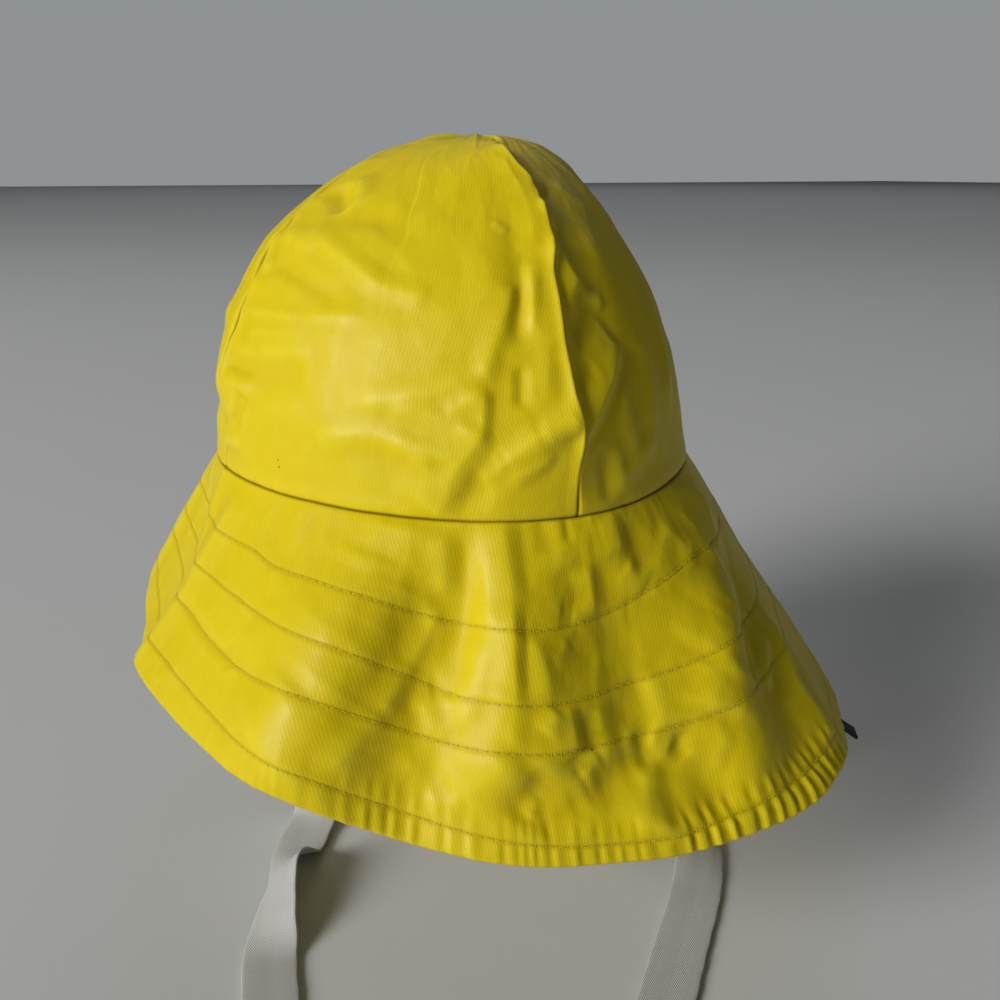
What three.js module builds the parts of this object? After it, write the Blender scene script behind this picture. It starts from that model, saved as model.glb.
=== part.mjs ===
// A yellow rain hat seen from behind: four crown gores, one long back brim, two tape ties and a
// small dark tab at the rim. The hat keeps the folds and the leaning crown it has on its support.
// Millimetres. The origin is the centre of the head opening, in the plane where the crown meets
// the brim. Z is up, Y points to the back of the hat and X to the wearer's left.
import * as THREE from "three";

// Driving sizes
const HEAD_LENGTH = 200; // outside of the crown at the seam, front to back
const HEAD_WIDTH = 180; // outside of the crown at the seam, side to side
const CROWN_HEIGHT = 116; // from the seam to the top
const BRIM_LENGTH = 104; // along the cloth at the centre back, from the seam to the rim
const CLOTH = 1.6; // coated cotton with its backing
const HEM_THICKNESS = 2.4; // folded edge of the brim
const HEM_START = 0.93; // where the fold of the hem begins, as a share of the brim's length
const SEAM_GAP = 0.3; // clearance between neighbouring pieces of cloth
const CROWN_SEAMS = [0, 86, 180, 270]; // azimuths of the back, left, front and right seams
const SEAM_SADDLE = 1.5; // the seam dips this much at front and back and rises at the sides
const TIE_WIDTH = 20;
const TIE_THICKNESS = 1;
const TABLE_DROP = 175; // the free ends of the ties lie flat this far below the seam
const TAB_WIDTH = 9;
const TAB_THICKNESS = 1.4;

// Mesh density
const GORE_COLUMNS = 14;
const GORE_ROWS = 16;
const BRIM_COLUMNS = 108;
const BRIM_ROWS = 9;
const TIE_STEPS = 36;
const TAB_STEPS = 8;

// Crown sections from the seam to the top. Rise is a share of the crown's height, spread of the
// oval's size at the seam. Corner is the exponent of the oval, where less than 2 is pointed at the
// gore seams. The leans are shares of the head's width, the twist is in degrees.
const CROWN_SECTIONS = [
  { rise: 0, spread: 1, corner: 1.86, leanLeft: 0, leanBack: 0, twist: 0 },
  { rise: 0.22, spread: 0.975, corner: 1.82, leanLeft: 0.006, leanBack: 0, twist: 0 },
  { rise: 0.45, spread: 0.9, corner: 1.78, leanLeft: 0.008, leanBack: -0.006, twist: -0.5 },
  { rise: 0.66, spread: 0.758, corner: 1.76, leanLeft: 0.004, leanBack: -0.008, twist: -1.5 },
  { rise: 0.82, spread: 0.568, corner: 1.78, leanLeft: -0.012, leanBack: 0, twist: -0.5 },
  { rise: 0.93, spread: 0.366, corner: 1.84, leanLeft: -0.034, leanBack: 0.011, twist: 5 },
  { rise: 0.985, spread: 0.18, corner: 1.92, leanLeft: -0.05, leanBack: 0.022, twist: 6 },
  { rise: 1, spread: 0, corner: 2, leanLeft: -0.055, leanBack: 0.028, twist: 6 },
];

// Soft dents and ridges of the crown. Azimuth runs from the back towards the wearer's left, height
// is a share of the way up the cloth, depth is positive outwards and slant turns the dent.
const CROWN_DENTS = [
  { azimuth: 10, height: 0.45, wide: 5, tall: 0.16, depth: -2, slant: 0 },
  { azimuth: 18, height: 0.48, wide: 6, tall: 0.18, depth: 1.2, slant: 0 },
  { azimuth: 10, height: 0.13, wide: 9, tall: 0.035, depth: 2, slant: -0.006 },
  { azimuth: 20, height: 0.07, wide: 9, tall: 0.035, depth: -1.6, slant: -0.006 },
  { azimuth: 84, height: 0.3, wide: 6, tall: 0.05, depth: -1.8, slant: 0 },
  { azimuth: 88, height: 0.11, wide: 7, tall: 0.04, depth: -1.6, slant: 0 },
  { azimuth: -14, height: 0.34, wide: 6, tall: 0.1, depth: -2.2, slant: 0.004 },
  { azimuth: -22, height: 0.52, wide: 7, tall: 0.1, depth: 1.8, slant: 0.004 },
  { azimuth: -12, height: 0.7, wide: 6, tall: 0.07, depth: -1.8, slant: 0 },
  { azimuth: 62, height: 0.74, wide: 11, tall: 0.06, depth: -1.8, slant: 0 },
  { azimuth: 48, height: 0.58, wide: 15, tall: 0.05, depth: -1.2, slant: 0.003 },
  { azimuth: -95, height: 0.3, wide: 9, tall: 0.09, depth: -2.2, slant: 0 },
  { azimuth: 150, height: 0.42, wide: 11, tall: 0.1, depth: -2, slant: 0 },
  { azimuth: -140, height: 0.6, wide: 11, tall: 0.1, depth: -2, slant: 0 },
];

// Brim stations around the hat. Reach is outwards, fall is downwards and bow is how far the middle
// of the cloth stands out of the straight line, all as shares of the brim's length at the back.
const BRIM_STATIONS = [
  { azimuth: -180, reach: 0.37, fall: 0.4, bow: 0.02 },
  { azimuth: -140, reach: 0.42, fall: 0.58, bow: 0.01 },
  { azimuth: -105, reach: 0.52, fall: 0.81, bow: 0 },
  { azimuth: -75, reach: 0.61, fall: 0.925, bow: -0.02 },
  { azimuth: -50, reach: 0.62, fall: 0.955, bow: -0.02 },
  { azimuth: -30, reach: 0.62, fall: 0.926, bow: 0 },
  { azimuth: -10, reach: 0.49, fall: 0.938, bow: 0.02 },
  { azimuth: 10, reach: 0.41, fall: 0.92, bow: 0.02 },
  { azimuth: 28, reach: 0.43, fall: 0.846, bow: 0.02 },
  { azimuth: 45, reach: 0.484, fall: 0.722, bow: 0.03 },
  { azimuth: 62, reach: 0.412, fall: 0.684, bow: 0.01 },
  { azimuth: 78, reach: 0.378, fall: 0.632, bow: -0.02 },
  { azimuth: 92, reach: 0.338, fall: 0.6, bow: -0.035 },
  { azimuth: 108, reach: 0.32, fall: 0.555, bow: -0.01 },
  { azimuth: 140, reach: 0.36, fall: 0.46, bow: 0.035 },
];

// Long folds that run down the brim. A fold starts at one azimuth at the seam and leans to another
// at the rim. Depth is positive for a ridge, start and end are shares of the way down.
const BRIM_FOLDS = [
  { seam: 26.5, rim: 33, wide: 6.5, depth: -8, start: 0.02, end: 1.15 },
  { seam: 38, rim: 50, wide: 8, depth: 3.5, start: 0.1, end: 1.1 },
  { seam: 18, rim: 17.5, wide: 6, depth: 4, start: 0.02, end: 0.85 },
  { seam: -5, rim: -6, wide: 7, depth: -6, start: 0.05, end: 0.95 },
  { seam: -40, rim: -26, wide: 4, depth: -3, start: 0, end: 1 },
  { seam: -30, rim: -16, wide: 5, depth: 2, start: 0.15, end: 0.95 },
  { seam: -48, rim: -38, wide: 5, depth: 2.5, start: 0.4, end: 1.2 },
  { seam: 86, rim: 84, wide: 4.5, depth: 2.5, start: 0.02, end: 1.2 },
  { seam: 100, rim: 98, wide: 8, depth: -3, start: 0.02, end: 1.2 },
  { seam: 150, rim: 146, wide: 10, depth: 3, start: 0.2, end: 1.2 },
  { seam: -120, rim: -116, wide: 9, depth: 3.5, start: 0.2, end: 1.2 },
  { seam: -150, rim: -152, wide: 10, depth: -3, start: 0.2, end: 1.2 },
];

// Centre line of each tie below its stitched end, with the direction that its face looks in. Drop
// is a share of the way down to the table; the other columns are millimetres and a free direction.
const LEFT_TIE_ROUTE = [
  { x: 84, y: -4, drop: 0.2, face: [1, 0.1, 0] },
  { x: 71, y: -18, drop: 0.55, face: [0.8, 0.5, -0.4] },
  { x: 57, y: -33, drop: 0.84, face: [0.6, 0.75, -0.3] },
  { x: 52, y: -38, drop: 0.945, face: [0.6, 0.78, 0.1] },
  { x: 56, y: -31, drop: 0.985, face: [0.3, 0.4, 0.9] },
  { x: 67, y: -14, drop: 0.99, face: [0, 0, 1] },
  { x: 80, y: 8, drop: 0.955, face: [0.6, -0.45, 0.65] },
  { x: 89, y: 28, drop: 0.965, face: [0.45, -0.3, 0.85] },
  { x: 97, y: 50, drop: 0.996, face: [0, 0, 1] },
  { x: 104, y: 80, drop: 0.996, face: [0, 0, 1] },
];
const RIGHT_TIE_ROUTE = [
  { x: -90, y: 5, drop: 0.25, face: [-1, 0, 0] },
  { x: -95, y: 17, drop: 0.6, face: [-1, 0.1, 0] },
  { x: -98, y: 33, drop: 0.86, face: [-0.9, 0.4, 0.3] },
  { x: -95, y: 48, drop: 0.965, face: [-0.6, 0.3, 0.8] },
  { x: -86, y: 62, drop: 0.98, face: [-0.3, 0.1, 1] },
  { x: -68, y: 84, drop: 0.996, face: [0, 0, 1] },
  { x: -44, y: 108, drop: 0.996, face: [0, 0, 1] },
  { x: -18, y: 134, drop: 0.996, face: [0, 0, 1] },
];

// The dark tab is stitched under the hem at this azimuth and hangs out past the rim. Stitched
// places are shares of the way down the brim, the free end is in millimetres from the rim.
const TAB_AZIMUTH = -57;
const TAB_STITCHED = [0.84, 0.92, 0.985];
const TAB_FREE_END = [
  { out: 3, down: 6, lean: 0.3 },
  { out: 8, down: 13, lean: 0.35 },
  { out: 15, down: 18, lean: 0.7 },
];

const material = (color, roughness) => new THREE.MeshStandardMaterial({ color, roughness, metalness: 0 });
const YELLOW_CLOTH = material(0xe6cf17, 0.42);
const TWILL_TAPE = material(0xc9c9c6, 0.85);
const DARK_TAPE = material(0x16171a, 0.7);

const radians = THREE.MathUtils.degToRad;
const wrap = (degrees) => THREE.MathUtils.euclideanModulo(degrees + 180, 360) - 180;

// Smooth curve through table values that never overshoots them.
function interpolate(knots, values, at) {
  const last = knots.length - 1;
  const widths = knots.slice(1).map((knot, i) => knot - knots[i]);
  const rises = widths.map((width, i) => (values[i + 1] - values[i]) / width);
  const slope = (i) => {
    if (i === 0 || i === last) {
      return rises[Math.min(i, last - 1)];
    }
    if (rises[i - 1] * rises[i] <= 0) {
      return 0;
    }
    const before = 2 * widths[i] + widths[i - 1];
    const after = widths[i] + 2 * widths[i - 1];
    return (before + after) / (before / rises[i - 1] + after / rises[i]);
  };
  const inside = knots.findIndex((knot) => knot > at);
  const i = inside < 0 ? last - 1 : Math.max(inside - 1, 0);
  const u = THREE.MathUtils.clamp((at - knots[i]) / widths[i], 0, 1);
  const start = values[i] * (1 + 2 * u) * (1 - u) ** 2;
  const end = values[i + 1] * u * u * (3 - 2 * u);
  const bend = u * (1 - u) * widths[i] * (slope(i) * (1 - u) - slope(i + 1) * u);
  return start + end + bend;
}

// Turns a table into functions of one knot column, one function for each other column.
function columns(table, knots) {
  const names = Object.keys(table[0]);
  return Object.fromEntries(
    names.map((name) => [name, (at) => interpolate(knots, table.map((row) => row[name]), at)]),
  );
}

// Head oval
function oval(azimuth, corner) {
  const power = 2 / corner;
  const side = Math.sin(radians(azimuth));
  const back = Math.cos(radians(azimuth));
  const x = (HEAD_WIDTH / 2) * Math.sign(side) * Math.abs(side) ** power;
  const y = (HEAD_LENGTH / 2) * Math.sign(back) * Math.abs(back) ** power;
  return new THREE.Vector2(x, y);
}

const seamLift = (azimuth) => -SEAM_SADDLE * Math.cos(radians(2 * azimuth));

// Crown surface
const crownKnots = CROWN_SECTIONS.reduce((knots, row, i) => {
  if (i === 0) {
    return [0];
  }
  const below = CROWN_SECTIONS[i - 1];
  const rise = (row.rise - below.rise) * CROWN_HEIGHT;
  const spread = ((row.spread - below.spread) * (HEAD_LENGTH + HEAD_WIDTH)) / 4;
  return [...knots, knots[i - 1] + Math.hypot(rise, spread)];
}, []);
const crownLength = crownKnots.at(-1);
const crownTable = columns(CROWN_SECTIONS, crownKnots.map((knot) => knot / crownLength));

function dentDepth(azimuth, height) {
  return CROWN_DENTS.reduce((sum, dent) => {
    const across = wrap(azimuth - dent.azimuth);
    const along = height - dent.height - dent.slant * across;
    return sum + dent.depth * Math.exp(-((across / dent.wide) ** 2) - (along / dent.tall) ** 2);
  }, 0);
}

function crownPoint(azimuth, height) {
  const twist = radians(crownTable.twist(height));
  const around = oval(azimuth, crownTable.corner(height));
  const size = around.length();
  const swell = crownTable.spread(height) * (1 + dentDepth(azimuth, height) / size);
  around.rotateAround(new THREE.Vector2(), -twist).multiplyScalar(swell);
  return new THREE.Vector3(
    around.x + crownTable.leanLeft(height) * HEAD_WIDTH,
    around.y + crownTable.leanBack(height) * HEAD_WIDTH,
    crownTable.rise(height) * CROWN_HEIGHT + seamLift(azimuth) * (1 - height),
  );
}

// Brim surface
const brimRows = [BRIM_STATIONS.at(-1), ...BRIM_STATIONS, BRIM_STATIONS[0], BRIM_STATIONS[1]];
const brimKnots = brimRows.map((row, i) => {
  const turns = i === 0 ? -360 : i > BRIM_STATIONS.length ? 360 : 0;
  return row.azimuth + turns;
});
const brimTable = columns(brimRows, brimKnots);

function foldDepth(azimuth, down) {
  return BRIM_FOLDS.reduce((sum, fold) => {
    const middle = fold.seam + (fold.rim - fold.seam) * down;
    const across = wrap(azimuth - middle) / fold.wide;
    const grows = THREE.MathUtils.smoothstep(down, fold.start, fold.start + 0.35);
    const fades = THREE.MathUtils.smoothstep(fold.end - down, 0, 0.15);
    return sum + fold.depth * Math.exp(-0.5 * across * across) * grows * fades;
  }, 0);
}

function brimPoint(azimuth, down) {
  const at = wrap(azimuth);
  const around = oval(at, CROWN_SECTIONS[0].corner);
  const outwards = new THREE.Vector2(
    Math.sin(radians(at)) / HEAD_WIDTH,
    Math.cos(radians(at)) / HEAD_LENGTH,
  ).normalize();
  const reach = brimTable.reach(at) * BRIM_LENGTH;
  const fall = brimTable.fall(at) * BRIM_LENGTH;
  const bow = brimTable.bow(at) * BRIM_LENGTH * Math.sin(Math.PI * down);
  const lift = (foldDepth(at, down) + bow) / Math.hypot(reach, fall);
  around.addScaledVector(outwards, reach * down + fall * lift);
  return new THREE.Vector3(around.x, around.y, seamLift(at) - fall * down + reach * lift);
}

// Outward normal of a surface that is given by azimuth and distance from the seam.
function outwardNormal(surface, azimuth, along, upwards) {
  const step = 0.004;
  const sideways = surface(azimuth + 0.5, along).sub(surface(azimuth - 0.5, along));
  const lengthways = surface(azimuth, along + step).sub(surface(azimuth, along - step));
  return sideways.cross(lengthways).multiplyScalar(upwards ? -1 : 1).normalize();
}

// Closed mesh from an outer and an inner grid of points. Wrapped grids join their first and last
// columns; open ones get a strip of their own along each side.
function wallGeometry(outer, inner, wrapped) {
  const count = outer.length;
  const rows = outer[0].length;
  const points = [...outer.flat(), ...inner.flat()];
  const at = (layer, i, j) => layer * count * rows + (i % count) * rows + j;
  const faces = [];
  const quad = (a, b, c, d) => faces.push(a, b, c, a, c, d);
  const spans = wrapped ? count : count - 1;
  for (let i = 0; i < spans; i += 1) {
    for (let j = 0; j < rows - 1; j += 1) {
      quad(at(0, i, j), at(0, i + 1, j), at(0, i + 1, j + 1), at(0, i, j + 1));
      quad(at(1, i, j), at(1, i, j + 1), at(1, i + 1, j + 1), at(1, i + 1, j));
    }
    quad(at(0, i, 0), at(1, i, 0), at(1, i + 1, 0), at(0, i + 1, 0));
    quad(at(0, i, rows - 1), at(0, i + 1, rows - 1), at(1, i + 1, rows - 1), at(1, i, rows - 1));
  }
  if (!wrapped) {
    for (let j = 0; j < rows - 1; j += 1) {
      quad(at(0, 0, j), at(0, 0, j + 1), at(1, 0, j + 1), at(1, 0, j));
      quad(at(0, count - 1, j), at(1, count - 1, j), at(1, count - 1, j + 1), at(0, count - 1, j + 1));
    }
  }
  const geometry = new THREE.BufferGeometry();
  geometry.setAttribute(
    "position",
    new THREE.Float32BufferAttribute(points.flatMap((point) => point.toArray()), 3),
  );
  geometry.setIndex(faces);
  geometry.computeVertexNormals();
  return geometry;
}

const steps = (count) => Array.from({ length: count + 1 }, (_, i) => i / count);

// One gore of the crown between two neighbouring seams.
function goreGeometry(startAzimuth, endAzimuth) {
  const first = SEAM_GAP / 2 / crownLength;
  const tip = 1 - (2 * SEAM_GAP) / crownLength;
  const outer = [];
  const inner = [];
  for (const across of steps(GORE_COLUMNS)) {
    const pairs = steps(GORE_ROWS).map((share) => {
      const height = first + (tip - first) * share;
      const radius = crownTable.spread(height) * Math.min(HEAD_WIDTH, HEAD_LENGTH) * 0.5;
      const inset = THREE.MathUtils.radToDeg(Math.min(SEAM_GAP / 2 / radius, 0.6));
      const azimuth = startAzimuth + inset + (endAzimuth - startAzimuth - 2 * inset) * across;
      const point = crownPoint(azimuth, height);
      const normal = outwardNormal(crownPoint, azimuth, height, true);
      return [point, point.clone().addScaledVector(normal, -CLOTH)];
    });
    outer.push(pairs.map((pair) => pair[0]));
    inner.push(pairs.map((pair) => pair[1]));
  }
  return wallGeometry(outer.reverse(), inner.reverse(), false);
}

// The brim is one ring of cloth with a thicker folded edge.
function brimGeometry() {
  const first = SEAM_GAP / 2 / BRIM_LENGTH;
  const shares = [...steps(BRIM_ROWS).map((share) => first + (HEM_START - first) * share), HEM_START + 0.01, 1];
  const outer = [];
  const inner = [];
  for (const turn of steps(BRIM_COLUMNS).slice(0, -1)) {
    const azimuth = 360 * turn - 180;
    const pairs = shares.map((share) => {
      const point = brimPoint(azimuth, share);
      const normal = outwardNormal(brimPoint, azimuth, share, false);
      const thickness = share > HEM_START ? HEM_THICKNESS : CLOTH;
      return [point, point.clone().addScaledVector(normal, -thickness)];
    });
    outer.push(pairs.map((pair) => pair[0]));
    inner.push(pairs.map((pair) => pair[1]));
  }
  return wallGeometry(outer, inner, true);
}

// Flat tape along a route of points, each with the direction that the tape's face looks in.
function tapeGeometry(route, width, thickness, count) {
  const knots = route.reduce((list, stop, i) => {
    return i === 0 ? [0] : [...list, list[i - 1] + stop.point.distanceTo(route[i - 1].point)];
  }, []);
  const sample = (vectors, at) => {
    const axes = ["x", "y", "z"].map((axis) => interpolate(knots, vectors.map((v) => v[axis]), at));
    return new THREE.Vector3(...axes);
  };
  const points = route.map((stop) => stop.point);
  const faces = route.map((stop) => stop.face);
  const length = knots.at(-1);
  const front = [];
  const back = [];
  for (const share of steps(count)) {
    const at = share * length;
    const middle = sample(points, at);
    const before = sample(points, Math.max(at - 0.5, 0));
    const along = sample(points, Math.min(at + 0.5, length)).sub(before);
    const across = along.clone().cross(sample(faces, at)).normalize();
    const facing = across.clone().cross(along).normalize();
    const edge = (side, face) => middle.clone()
      .addScaledVector(across, (side * width) / 2)
      .addScaledVector(facing, (face * thickness) / 2);
    front.push([edge(1, 1), edge(-1, 1)]);
    back.push([edge(1, -1), edge(-1, -1)]);
  }
  return wallGeometry(front, back, false);
}

// The stitched end of a tie lies just inside the seam at the side of the head opening.
function tieGeometry(side, route) {
  const sagitta = TIE_WIDTH ** 2 / 8 / (HEAD_LENGTH ** 2 / 2 / HEAD_WIDTH);
  const inset = CLOTH + SEAM_GAP + TIE_THICKNESS / 2 + sagitta;
  const sewn = {
    point: new THREE.Vector3(side * (HEAD_WIDTH / 2 - inset), 0, -SEAM_GAP),
    face: new THREE.Vector3(side, 0, 0),
  };
  const stops = route.map((row) => ({
    point: new THREE.Vector3(row.x, row.y, -TABLE_DROP * row.drop),
    face: new THREE.Vector3(...row.face),
  }));
  return tapeGeometry([sewn, ...stops], TIE_WIDTH, TIE_THICKNESS, TIE_STEPS);
}

function tabGeometry() {
  const outwards = new THREE.Vector3(Math.sin(radians(TAB_AZIMUTH)), Math.cos(radians(TAB_AZIMUTH)), 0);
  const clear = HEM_THICKNESS + 3 * SEAM_GAP + TAB_THICKNESS / 2;
  const stitched = TAB_STITCHED.map((share) => {
    const normal = outwardNormal(brimPoint, TAB_AZIMUTH, share, false);
    const point = brimPoint(TAB_AZIMUTH, share).addScaledVector(normal, -clear);
    return { point, face: normal };
  });
  const edge = stitched.at(-1).point;
  const free = TAB_FREE_END.map((row) => ({
    point: edge.clone().addScaledVector(outwards, row.out).setZ(edge.z - row.down),
    face: outwards.clone().multiplyScalar(1 - row.lean).setZ(row.lean),
  }));
  return tapeGeometry([...stitched, ...free], TAB_WIDTH, TAB_THICKNESS, TAB_STEPS);
}

function addPiece(group, name, geometry, surface) {
  const mesh = new THREE.Mesh(geometry, surface);
  mesh.name = name;
  group.add(mesh);
}

const hat = new THREE.Group();
hat.name = "rain_hat";
const [BACK, LEFT, FRONT, RIGHT] = CROWN_SEAMS;
addPiece(hat, "crown_gore_back_left", goreGeometry(BACK, LEFT), YELLOW_CLOTH.clone());
addPiece(hat, "crown_gore_front_left", goreGeometry(LEFT, FRONT), YELLOW_CLOTH.clone());
addPiece(hat, "crown_gore_front_right", goreGeometry(FRONT, RIGHT), YELLOW_CLOTH.clone());
addPiece(hat, "crown_gore_back_right", goreGeometry(RIGHT, 360 + BACK), YELLOW_CLOTH.clone());
addPiece(hat, "brim", brimGeometry(), YELLOW_CLOTH.clone());
addPiece(hat, "tie_left", tieGeometry(1, LEFT_TIE_ROUTE), TWILL_TAPE.clone());
addPiece(hat, "tie_right", tieGeometry(-1, RIGHT_TIE_ROUTE), TWILL_TAPE.clone());
addPiece(hat, "rim_tab", tabGeometry(), DARK_TAPE);

export default hat;
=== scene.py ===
"""Yellow rain hat of coated cotton: four crown gores, a long stitched back brim, tape ties, rim tab.

Metres. The origin is the centre of the head opening, in the plane where the crown meets the brim.
Z is up, Y points to the back of the hat and X to the wearer's left. Azimuths are degrees from the
back towards the wearer's left. Shares run from the seam between crown and brim: upwards over the
crown to its top, downwards over the brim to the rim.
"""
import logging
import math
from collections.abc import Callable, Mapping, Sequence
from dataclasses import dataclass, field
from enum import Enum
from typing import NamedTuple, TypeVar

import bpy
import numpy as np
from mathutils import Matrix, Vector


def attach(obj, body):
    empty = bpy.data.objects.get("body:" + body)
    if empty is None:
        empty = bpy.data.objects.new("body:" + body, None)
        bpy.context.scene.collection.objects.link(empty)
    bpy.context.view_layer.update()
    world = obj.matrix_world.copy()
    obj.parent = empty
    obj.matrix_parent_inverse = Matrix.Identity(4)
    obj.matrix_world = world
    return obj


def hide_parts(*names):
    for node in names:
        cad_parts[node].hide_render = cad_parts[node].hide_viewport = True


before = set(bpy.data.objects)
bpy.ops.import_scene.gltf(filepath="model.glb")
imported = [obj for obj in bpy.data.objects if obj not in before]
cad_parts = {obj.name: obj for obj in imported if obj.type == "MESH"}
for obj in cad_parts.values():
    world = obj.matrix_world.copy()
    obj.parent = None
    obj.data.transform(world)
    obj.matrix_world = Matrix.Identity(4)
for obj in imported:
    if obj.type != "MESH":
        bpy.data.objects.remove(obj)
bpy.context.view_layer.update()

log = logging.getLogger("hat")
Array = np.ndarray
Surface = Callable[[Array, Array], Array]
Row = TypeVar("Row")
MM = 0.001
SMOOTHING_ROUNDS = 14
FULL_BUMP = 0.00022


class CrownSection(NamedTuple):
    """One level of the crown. Rise is a share of its height and spread of the oval at the seam.

    Corner is the oval's exponent, the leans are shares of the head's width, twist is in degrees.
    """

    rise: float
    spread: float
    corner: float
    lean_left: float
    lean_back: float
    twist: float


class Dent(NamedTuple):
    """A soft dent of the crown, or a swell where its depth, in millimetres, is positive."""

    azimuth: float
    height: float
    wide: float
    tall: float
    depth: float
    slant: float


class SeamSway(NamedTuple):
    """How far the back and the left seam wander at one height, in degrees."""

    height: float
    back: float
    left: float


class BrimStation(NamedTuple):
    """The run of the brim at one azimuth, in shares of its length at the back."""

    azimuth: float
    reach: float
    fall: float
    bow: float


class Fold(NamedTuple):
    """A long fold down the brim, from one azimuth at the seam to another at the rim."""

    seam: float
    rim: float
    wide: float
    depth: float
    start: float
    end: float


class Crease(NamedTuple):
    """A ridge, or a groove where its depth is negative, from one place of the cloth to another.

    Left and right are how far it spreads towards the wearer's left and right, and depth is how far
    it stands out, all in millimetres. Crisp runs from 0, round, to 1, folded sharp.
    """

    azimuth: float
    share: float
    to_azimuth: float
    to_share: float
    left: float
    right: float
    depth: float
    crisp: float


class RowStation(NamedTuple):
    """Where the four rows of stitches lie at one azimuth, in shares of the way down the brim."""

    azimuth: float
    first: float
    second: float
    third: float
    hem: float


class Pucker(NamedTuple):
    """How deep the hem is gathered at one azimuth, in millimetres."""

    azimuth: float
    depth: float


class Stop(NamedTuple):
    """A point on a tape's centre line, in metres, and the direction that its face looks in."""

    x: float
    y: float
    z: float
    face: tuple[float, float, float]


def rows_of(kind: Callable[..., Row], *rows: tuple) -> tuple[Row, ...]:
    """Rows of bare values as named tuples of one kind."""
    return tuple(kind(*row) for row in rows)


CROWN_SECTIONS = rows_of(
    CrownSection,
    (0, 1, 1.86, 0, 0, 0),
    (0.22, 0.975, 1.82, 0.006, 0, 0),
    (0.45, 0.9, 1.78, 0.008, -0.006, -0.5),
    (0.66, 0.758, 1.76, 0.004, -0.008, -1.5),
    (0.82, 0.568, 1.78, -0.012, 0, -0.5),
    (0.93, 0.366, 1.84, -0.034, 0.011, 5),
    (0.985, 0.18, 1.92, -0.05, 0.022, 6),
    (1, 0, 2, -0.055, 0.028, 6),
)

CROWN_DENTS = rows_of(
    Dent,
    (10, 0.45, 5, 0.16, -2, 0),
    (18, 0.48, 6, 0.18, 1.2, 0),
    (10, 0.13, 9, 0.035, 2, -0.006),
    (20, 0.07, 9, 0.035, -1.6, -0.006),
    (84, 0.3, 6, 0.05, -1.8, 0),
    (88, 0.11, 7, 0.04, -1.6, 0),
    (-14, 0.34, 6, 0.1, -2.2, 0.004),
    (-22, 0.52, 7, 0.1, 1.8, 0.004),
    (-12, 0.7, 6, 0.07, -1.8, 0),
    (62, 0.74, 11, 0.06, -1.8, 0),
    (48, 0.58, 15, 0.05, -1.2, 0.003),
    (-95, 0.3, 9, 0.09, -2.2, 0),
    (150, 0.42, 11, 0.1, -2, 0),
    (-140, 0.6, 11, 0.1, -2, 0),
)

SEAM_SWAYS = rows_of(
    SeamSway,
    (0, 0, 2),
    (0.08, 0, -1.6),
    (0.14, -1.2, -2),
    (0.2, -0.4, 2.2),
    (0.27, 0, 2),
    (0.33, 0.6, -0.8),
    (0.4, 0.4, -2.6),
    (0.45, 0.3, -1.4),
    (0.5, -1.6, -0.8),
    (0.54, -3.4, -2.4),
    (0.6, -3.6, 0.4),
    (0.66, -4.4, 0.8),
    (0.72, -1.6, 0),
    (0.8, 0, 0),
    (1, 0, 0),
)

BRIM_STATIONS = rows_of(
    BrimStation,
    (-180, 0.37, 0.4, 0.02),
    (-140, 0.42, 0.58, 0.01),
    (-105, 0.52, 0.81, 0),
    (-75, 0.61, 0.925, -0.02),
    (-50, 0.62, 0.955, -0.02),
    (-30, 0.62, 0.926, 0),
    (-10, 0.49, 0.938, 0.02),
    (10, 0.41, 0.92, 0.02),
    (28, 0.43, 0.846, 0.02),
    (45, 0.484, 0.722, 0.03),
    (62, 0.412, 0.684, 0.01),
    (78, 0.378, 0.632, -0.02),
    (92, 0.338, 0.6, -0.035),
    (108, 0.32, 0.555, -0.01),
    (140, 0.36, 0.46, 0.035),
)

BRIM_FOLDS = rows_of(
    Fold,
    (26.5, 33, 6.5, -8, 0.02, 1.15),
    (38, 50, 8, 3.5, 0.1, 1.1),
    (18, 17.5, 6, 4, 0.02, 0.85),
    (-5, -6, 7, -6, 0.05, 0.95),
    (-40, -26, 4, -3, 0, 1),
    (-30, -16, 5, 2, 0.15, 0.95),
    (-48, -38, 5, 2.5, 0.4, 1.2),
    (86, 84, 4.5, 2.5, 0.02, 1.2),
    (100, 98, 8, -3, 0.02, 1.2),
    (150, 146, 10, 3, 0.2, 1.2),
    (-120, -116, 9, 3.5, 0.2, 1.2),
    (-150, -152, 10, -3, 0.2, 1.2),
)

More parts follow.
